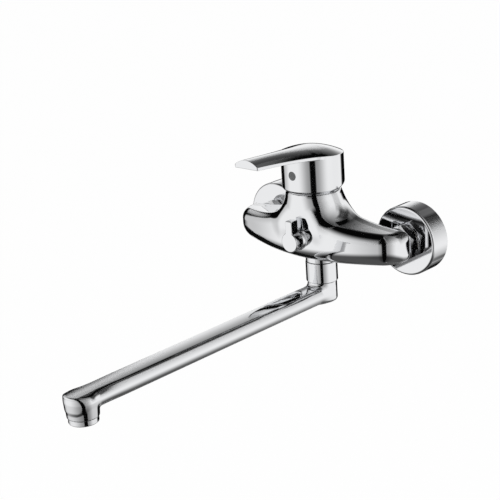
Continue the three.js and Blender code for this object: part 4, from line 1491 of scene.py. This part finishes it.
@dataclass
class Outlets:
    """The swivel nipple and nut of the spout, and the hose outlet, turned from their outlines."""

    spout_y: float = -45.7
    hose_y: float = -18.0
    nipple: Profile = (
        (5.0, -6.5, 0.3), (10.3, -6.5, 0.5), (10.3, -16.7, 0.1), (14.0, -16.7, 0.4), (14.0, -22.7, 0.4),
        (12.0, -22.7, 0.1), (12.0, -29.7, 0.4), (8.0, -29.7, 0.1), (8.0, -40.9, 0.1), (6.5, -40.9, 0.1),
        (6.5, -43.1, 0.1), (8.0, -43.1, 0.1), (8.0, -46.9, 0.1), (6.5, -46.9, 0.1), (6.5, -49.1, 0.1),
        (8.0, -49.1, 0.1), (8.0, -52.0, 0.4), (5.0, -52.0, 0.3))
    nut: Profile = (
        (12.3, -23.0, 0.4), (14.4, -23.0, 0.6), (14.4, -41.6, 0.6), (11.2, -41.6, 0.3), (11.2, -38.9, 0.1),
        (12.3, -38.9, 0.1))
    hose: Profile = (
        (5.0, -8.0, 0.3), (8.0, -8.0, 0.4), (8.0, -18.2, 0.1), (12.2, -18.2, 0.3), (12.2, -20.2, 0.4),
        (9.6, -20.2, 0.3), (9.6, -31.0, 0.5), (5.0, -31.0, 0.4))
    thread_radius: float = 10.4
    thread_pitch: float = 1.81
    thread_length: float = 9.0
    thread_start: float = -30.1

    def build(self) -> None:
        """Builds and dresses the outlets."""
        for name, corners, y, node in (("spout_nipple", self.nipple, self.spout_y, "outlet_nipple"),
                                       ("spout_swivel_nut", self.nut, self.spout_y, "spout_nut"),
                                       ("hose_outlet_body", self.hose, self.hose_y, "shower_outlet")):
            piece(name, turned(name, corners, (0, y, 0)), CHROME, Body.FIXED, node)
        thread = ridge("hose_thread", self.thread_radius, self.thread_pitch, self.thread_length, CHROME)
        piece("hose_outlet_thread", placed(thread, (0, self.hose_y, self.thread_start)), CHROME, Body.FIXED)


@dataclass
class Spout:
    """The long flat spout, its upright end and its nose with the aerator."""

    y: float = -45.7
    reach: float = 287.3
    tube_radius: float = 13.3
    tube_top: float = -41.9
    half: float = 11.0
    top: float = -45.5
    bottom: float = -61.0
    crown: float = 0.8
    side_bow: float = 2.6
    nose_bow: float = 2.0
    nose_bow_end: float = 8.0
    top_edge: float = 1.5
    low_edge: float = 3.0
    rim_edge: float = 0.5
    shoulder: float = 6.0
    shoulder_drop: float = 1.0
    flare: float = 40.0
    flare_inset: float = 1.0
    lean_limit: float = 1.5
    roof_limit: float = 1.2
    nose_radius: float = 14.4
    nose_foot: float = 12.9
    nose_bottom: float = -65.6
    tube_blend: float = 5.0
    nose_blend: float = 2.0
    hub: Profile = (
        (0.0, -43.9, 0.0), (10.8, -43.9, 0.0), (10.8, -38.9, 0.0), (9.9, -38.9, 0.0), (9.9, -36.3, 0.0),
        (10.8, -36.3, 0.0), (10.8, -33.7, 0.3), (0.0, -33.7, 0.0))
    hub_floor: float = -56.0
    hub_bore: Point2 = (8.4, -32.7)
    mouth_floor: float = -66.6
    mouth: tuple[Point2, ...] = ((11.3, -56.1), (8.5, -49.5))
    aerator: Profile = (
        (11.0, -58.5, 0.4), (11.0, -65.9, 0.1), (12.05, -65.9, 0.35), (12.05, -70.5, 0.8), (8.6, -70.5, 0.5),
        (8.6, -69.3, 0.3), (9.4, -69.3, 0.2), (9.4, -58.5, 0.4))
    sieve_radius: float = 8.2
    sieve_pitch: float = 1.75
    sieve_wall: float = 0.35
    sieve_depth: float = 1.6
    sieve_rows: int = 13
    sieve_height: float = -68.1
    pitches: Point3 = (0.55, 0.8, 0.5)
    margin: float = 1.5

    def half_at(self, y: Array) -> Array:
        """Half the bar's width, which flares out to the nose."""
        near = np.clip(1 - (self.reach + y) / self.flare, 0, 1)
        return self.half + (self.nose_radius - self.flare_inset - self.half) * near ** 2

    def shape(self, x: Array, y: Array, z: Array) -> Array:
        """The distance outside the spout.

        Args:
            x: places across it.
            y: places along it.
            z: heights.

        Returns:
            The distance at each.
        """
        y = y - self.y
        middle = (self.top + self.bottom) / 2
        lean = np.minimum(((z - middle) / (self.top - middle)) ** 2, self.lean_limit)
        near = step_between(-y, self.reach - self.flare, self.reach - self.nose_bow_end)
        half = self.half_at(y) - (self.side_bow + self.nose_bow * near) * lean
        under = self.bottom - z
        walls = rounded(np.abs(x) - half, under, self.low_edge)
        down = np.clip((self.top - z) / (self.top - self.nose_bottom), 0, 1)
        radius = self.nose_radius + (self.nose_foot - self.nose_radius) * down
        tip = np.hypot(x, np.minimum(y + self.reach, 0)) - radius
        walls = np.maximum(rounded(walls, tip, self.low_edge), y)
        nose = rounded(np.hypot(x, y + self.reach) - radius, z - self.top + self.shoulder_drop, self.shoulder)
        nose = rounded(nose, self.nose_bottom - z, self.rim_edge)
        roof = z - self.top + self.crown * np.minimum(x / self.half_at(y), self.roof_limit) ** 2
        arm = rounded(blended(walls, nose, self.nose_blend), roof, self.top_edge)
        tube = rounded(np.hypot(x, y) - self.tube_radius, under, self.low_edge)
        return blended(arm, rounded(tube, z - self.tube_top, self.rim_edge), self.tube_blend)

    def shell(self) -> Mesh:
        """The spout's metal, with its hub and bores.

        Returns:
            Its mesh.
        """
        ends = ((-self.nose_radius - self.margin, self.nose_radius + self.margin),
                (self.y - self.reach - self.nose_radius - 2, self.y + self.tube_radius + 2),
                (self.nose_bottom - self.margin, self.tube_top + self.margin))
        skin = Skin(self.shape, *(spaced(*pair, pitch) for pair, pitch in zip(ends, self.pitches)))
        centre = (0, self.y, 0)
        hub = turned("hub", self.hub, centre)
        bore = rod("hub_bore", self.hub_floor, [self.hub_bore], centre)
        mouth = rod("aerator_bore", self.mouth_floor, self.mouth, (0, self.y - self.reach, 0))
        mesh = worked(mesh_of("spout_skin", *skin.build()), [hub], Cut.ADD)
        return exact(worked(mesh, [bore, mouth]), skin)

    def sieve(self) -> Mesh:
        """The aerator's honeycomb, one ring of six walls at each place.

        Returns:
            Its mesh.
        """
        def plan(tree: Tree, size: dict[str, Socket]) -> Socket:
            """Sets hexagonal cells on a staggered grid inside the round."""
            pitch, row, count = size["Pitch"], size["Pitch"] * (math.sqrt(3) / 2), size["Rows"]
            grid = tree.node("GeometryNodeMeshGrid", None, {
                "Size X": pitch * (count - 1), "Size Y": row * (count - 1), "Vertices X": count,
                "Vertices Y": count})
            place = tree.node("GeometryNodeInputPosition")
            along = tree.node("ShaderNodeSeparateXYZ", None, {"Vector": place}, "Y")
            odd = (along / row).math("ROUND").math("FLOORED_MODULO", 2.0)
            shift = tree.node("ShaderNodeCombineXYZ", None, {"X": odd * (pitch * 0.5)})
            moved = tree.node("GeometryNodeSetPosition", None, {"Geometry": grid, "Offset": shift})
            far = tree.node("ShaderNodeVectorMath", {"operation": "LENGTH"}, {0: place}, "Value")
            near = tree.node("FunctionNodeCompare", {"data_type": "FLOAT", "operation": "LESS_THAN"},
                             {"A": far, "B": size["Radius"]})
            path = tree.node("GeometryNodeCurvePrimitiveCircle", None, {
                "Resolution": 6, "Radius": pitch / math.sqrt(3)})
            wall = tree.node("GeometryNodeCurvePrimitiveQuadrilateral", None, {
                "Width": size["Depth"], "Height": size["Wall"]})
            cell = tree.node("GeometryNodeCurveToMesh", None, {"Curve": path, "Profile Curve": wall})
            upright = tree.node("GeometryNodeTransform", None, {
                "Geometry": cell, "Rotation": (0.0, 0.0, math.pi / 6)})
            return tree.node("GeometryNodeInstanceOnPoints", None, {
                "Points": moved, "Instance": upright, "Selection": near})
        mesh = grown("aerator_honeycomb", {
            "Radius": self.sieve_radius * MM, "Pitch": self.sieve_pitch * MM, "Wall": self.sieve_wall * MM,
            "Depth": self.sieve_depth * MM, "Rows": self.sieve_rows}, PLASTIC, plan)
        return placed(mesh, (0, self.y - self.reach, self.sieve_height))

    def build(self) -> None:
        """Builds and dresses the spout."""
        piece("spout_shell", self.shell(), CHROME, Body.SPOUT, "spout")
        ring = turned("aerator_ring", self.aerator, (0, self.y - self.reach, 0))
        piece("aerator_shell", ring, CHROME, Body.SPOUT, "aerator_housing")
        piece("aerator_sieve", self.sieve(), PLASTIC, Body.SPOUT)


# ---------------------------------------------------------------- studio


@dataclass
class Flag:
    """A dark cloth hung in the studio, which only polished metal shows.

    Its place is given in degrees as seen from the tap: azimuths grow to the right from straight in front. Its
    distance is in metres.
    """

    name: str
    west: float
    east: float
    low: float
    high: float
    sides: float = 4.0
    foot: float = 5.0
    head: float = 5.0
    shade: float = 0.002
    density: float = 1.0
    distance: float = 6.0
    centre: float = -0.05
    pitch: float = 1.5

    def build(self) -> None:
        """Hangs the flag as part of a sphere round the body, thinning out towards its edges."""
        azimuth, elevation = np.meshgrid(spaced(self.west, self.east, self.pitch),
                                         spaced(self.low, self.high, self.pitch))
        around, up = np.radians(azimuth), np.radians(elevation)
        points = self.distance * np.stack([np.sin(around) * np.cos(up), -np.cos(around) * np.cos(up),
                                           np.sin(up)], axis=-1) + (0.0, self.centre, 0.0)
        rows, columns = azimuth.shape
        row, column = np.meshgrid(np.arange(rows - 1), np.arange(columns - 1), indexing="ij")
        first = (row * columns + column).ravel()
        faces = np.stack([first, first + 1, first + columns + 1, first + columns], axis=1)
        mesh = bpy.data.meshes.new(self.name)
        mesh.from_pydata(points.reshape(-1, 3).tolist(), [], faces.tolist())
        cover = (step_between(azimuth, self.west, self.west + self.sides)
                 * step_between(-azimuth, -self.east, self.sides - self.east)
                 * step_between(elevation, self.low, self.low + self.foot)
                 * step_between(-elevation, -self.high, self.head - self.high))
        mesh.attributes.new("cover", "FLOAT", "POINT").data.foreach_set("value", self.density * cover.ravel())
        mesh.materials.append(self.cloth())
        flag = put(self.name, mesh)
        flag.visible_camera = flag.visible_diffuse = flag.visible_shadow = False
        flag.visible_transmission = flag.visible_volume_scatter = False

    def cloth(self) -> bpy.types.Material:
        """The flag's cloth, as dark as its shade and as dense as its cover.

        Returns:
            The material.
        """
        material = bpy.data.materials.new(self.name)
        tree = bare(material)
        cover = tree.node("ShaderNodeAttribute", {"attribute_name": "cover"}, output="Fac")
        clear = tree.node("ShaderNodeBsdfTransparent")
        dark = tree.node("ShaderNodeEmission", None, {"Color": (self.shade,) * 3 + (1.0,)})
        tree.cover(cover, clear, dark, "ShaderNodeOutputMaterial")
        return material


@dataclass
class Studio:
    """The camera, the floor, the soft lamps and the flags; the lamps' places and sizes are in metres."""

    azimuth: float = 44.0234
    elevation: float = 18.1831
    roll: float = -3.8869
    lens: float = 98.093
    sensor: float = 36.0
    clip: Point2 = (0.05, 50.0)
    place: Point3 = (762.43, -925.96, 372.41)
    floor_height: float = -900.0
    floor_size: float = 40.0
    floor_shade: float = 0.86
    floor_glow: float = 0.98
    sky: float = 0.55
    aim: Point3 = (0.0, -0.12, 0.0)
    lamp_size: float = 2.6
    lamp_power: float = 21.0
    lamps: dict[str, Point3] = field(default_factory=lambda: {
        "lamp_left": (-2.6, -2.2, 1.6), "lamp_right": (3.0, -0.6, 1.6), "lamp_above": (-0.2, -1.0, 3.4)})
    flags: list[Flag] = field(default_factory=lambda: [
        Flag("post", 28.0, 53.0, -89.0, 90.0, sides=4.0, foot=0.1, head=0.1, distance=0.65),
        Flag("post_veil", -17.5, 98.5, -89.0, 90.0, sides=48.0, foot=0.1, head=0.1, density=0.65,
             distance=0.65),
        Flag("canopy_behind_camera", 2.0, 56.0, 2.0, 90.0, sides=14.0, foot=30.0, head=0.1, distance=2.0),
        Flag("canopy_left", -150.0, 14.0, 12.0, 90.0, sides=10.0, foot=52.0, head=0.1),
        Flag("canopy_right", 46.0, 165.0, 5.0, 90.0, sides=12.0, foot=80.0, head=0.1, density=0.9),
        Flag("canopy_rear", 143.0, 248.0, 8.0, 90.0, sides=24.0, foot=36.0, head=0.1, density=0.9),
        Flag("canopy_rear_core", 165.0, 210.0, 42.0, 66.0, sides=8.0, foot=6.0),
        Flag("canopy_side", 124.0, 174.0, 10.0, 62.0, sides=12.0, foot=22.0, head=14.0, density=0.88),
        Flag("canopy_rear_low", 186.0, 215.0, 10.0, 60.0, sides=6.0, foot=22.0, head=10.0, density=0.5),
        Flag("veil_side", 112.0, 152.0, -20.0, 42.0, sides=10.0, foot=46.0, head=20.0, density=0.4),
        Flag("curtain_left", -128.0, -83.0, -50.0, 27.0, sides=5.0, head=8.0),
        Flag("curtain_left_veil", -130.0, -52.0, -60.0, 45.0, sides=28.0, foot=10.0, head=20.0, density=0.35),
        Flag("curtain_left_low", -128.0, -76.0, -62.0, -24.0, sides=6.0),
        Flag("curtain_far", 160.0, 236.0, -42.0, 3.0, sides=12.0, head=4.0),
        Flag("ground_cloth", -180.0, 180.0, -90.0, -20.0, sides=0.1, foot=0.1, head=32.0, shade=0.02,
             density=0.93),
    ])

    def camera(self) -> None:
        """Sets up the camera."""
        a, e, roll = (math.radians(v) for v in (self.azimuth, self.elevation, self.roll))
        forward = Vector((-math.sin(a) * math.cos(e), math.cos(a) * math.cos(e), -math.sin(e)))
        right = Vector((math.cos(a), math.sin(a), 0))
        up = right.cross(forward)
        across = math.cos(roll) * right + math.sin(roll) * up
        upward = -math.sin(roll) * right + math.cos(roll) * up
        data = bpy.data.cameras.new("camera")
        data.lens, data.sensor_width, data.sensor_fit = self.lens, self.sensor, "HORIZONTAL"
        data.clip_start, data.clip_end = self.clip
        camera = put("camera", data)
        turn = Matrix((across, upward, -forward)).transposed().to_4x4()
        camera.matrix_world = Matrix.Translation(Vector(self.place) * MM) @ turn
        bpy.context.scene.camera = camera

    def lamp(self, name: str, place: Point3) -> None:
        """Adds a soft square lamp that faces the tap.

        Args:
            name: the lamp's name.
            place: where it hangs, in metres.
        """
        data = bpy.data.lights.new(name, "AREA")
        data.shape, data.size, data.energy = "SQUARE", self.lamp_size, self.lamp_power
        lamp = put(name, data)
        lamp.location = place
        lamp.visible_glossy = False
        lamp.rotation_euler = (Vector(self.aim) - Vector(place)).to_track_quat("-Z", "Y").to_euler()

    def world(self) -> None:
        """Makes the surroundings white to the camera and to reflections, and softer as light."""
        world = bpy.data.worlds.new("surroundings")
        bpy.context.scene.world = world
        tree = bare(world)
        ray = tree.node("ShaderNodeLightPath").link.node.outputs
        seen = [Socket(tree, ray[name]) for name in ("Is Camera Ray", "Is Glossy Ray", "Is Transmission Ray")]
        shown = seen[0].math("MAXIMUM", seen[1]).math("MAXIMUM", seen[2])
        soft, white = (tree.node("ShaderNodeBackground", None, {"Color": (1, 1, 1, 1), "Strength": strength})
                       for strength in (self.sky, 1.0))
        tree.cover(shown, soft, white, "ShaderNodeOutputWorld")

    def floor(self) -> None:
        """Lays the pale floor, which the camera sees as nearly white and which keeps a faint shadow."""
        half, z = self.floor_size / 2, self.floor_height * MM
        mesh = bpy.data.meshes.new("floor")
        corners = [(-half, -half, z), (half, -half, z), (half, half, z), (-half, half, z)]
        mesh.from_pydata(corners, [], [(0, 1, 2, 3)])
        floor = put("floor", mesh)
        floor.visible_glossy = False
        material = bpy.data.materials.new("pale_floor")
        tree = bare(material)
        ray = tree.node("ShaderNodeLightPath", output="Is Camera Ray")
        matt = tree.node("ShaderNodeBsdfDiffuse", None, {"Color": (self.floor_shade,) * 3 + (1.0,)})
        glow = tree.node("ShaderNodeEmission", None, {"Color": (1.0, 1.0, 1.0, 1.0)})
        tree.cover(ray * self.floor_glow, matt, glow, "ShaderNodeOutputMaterial")
        mesh.materials.append(material)

    def build(self) -> None:
        """Sets up everything else that isn't part of the tap."""
        bpy.context.scene.view_settings.view_transform = "Standard"
        self.world()
        self.floor()
        for name, place in self.lamps.items():
            self.lamp(name, place)
        for flag in self.flags:
            flag.build()


def dress(frame: dict[str, Any]) -> None:
    """Gives each CAD node its finish.
    """
    slots = {part["node"]: part["material_slot"] for part in frame["record"]["subparts"]}
    for name, node in frame["nodes"].items():
        finish = FINISH_OF_SLOT[slots[name]]
        node.data.materials.clear()
        node.data.materials.append(finish.material())
        LOG.info("%s: %s", name, finish.name)


def main() -> None:
    """Builds the scene."""
    logging.basicConfig(level=logging.INFO, format="%(message)s")
    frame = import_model()
    studio = Studio()
    studio.camera()
    dress(frame)
    for side, sign in (("left", -1), ("right", 1)):
        Inlet(side, sign).build()
    for assembly in (Casting(), TrimCap(), Handle(), Diverter(), Outlets(), Spout()):
        assembly.build()
    studio.build()
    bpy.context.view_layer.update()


if __name__ == "__main__":
    main()
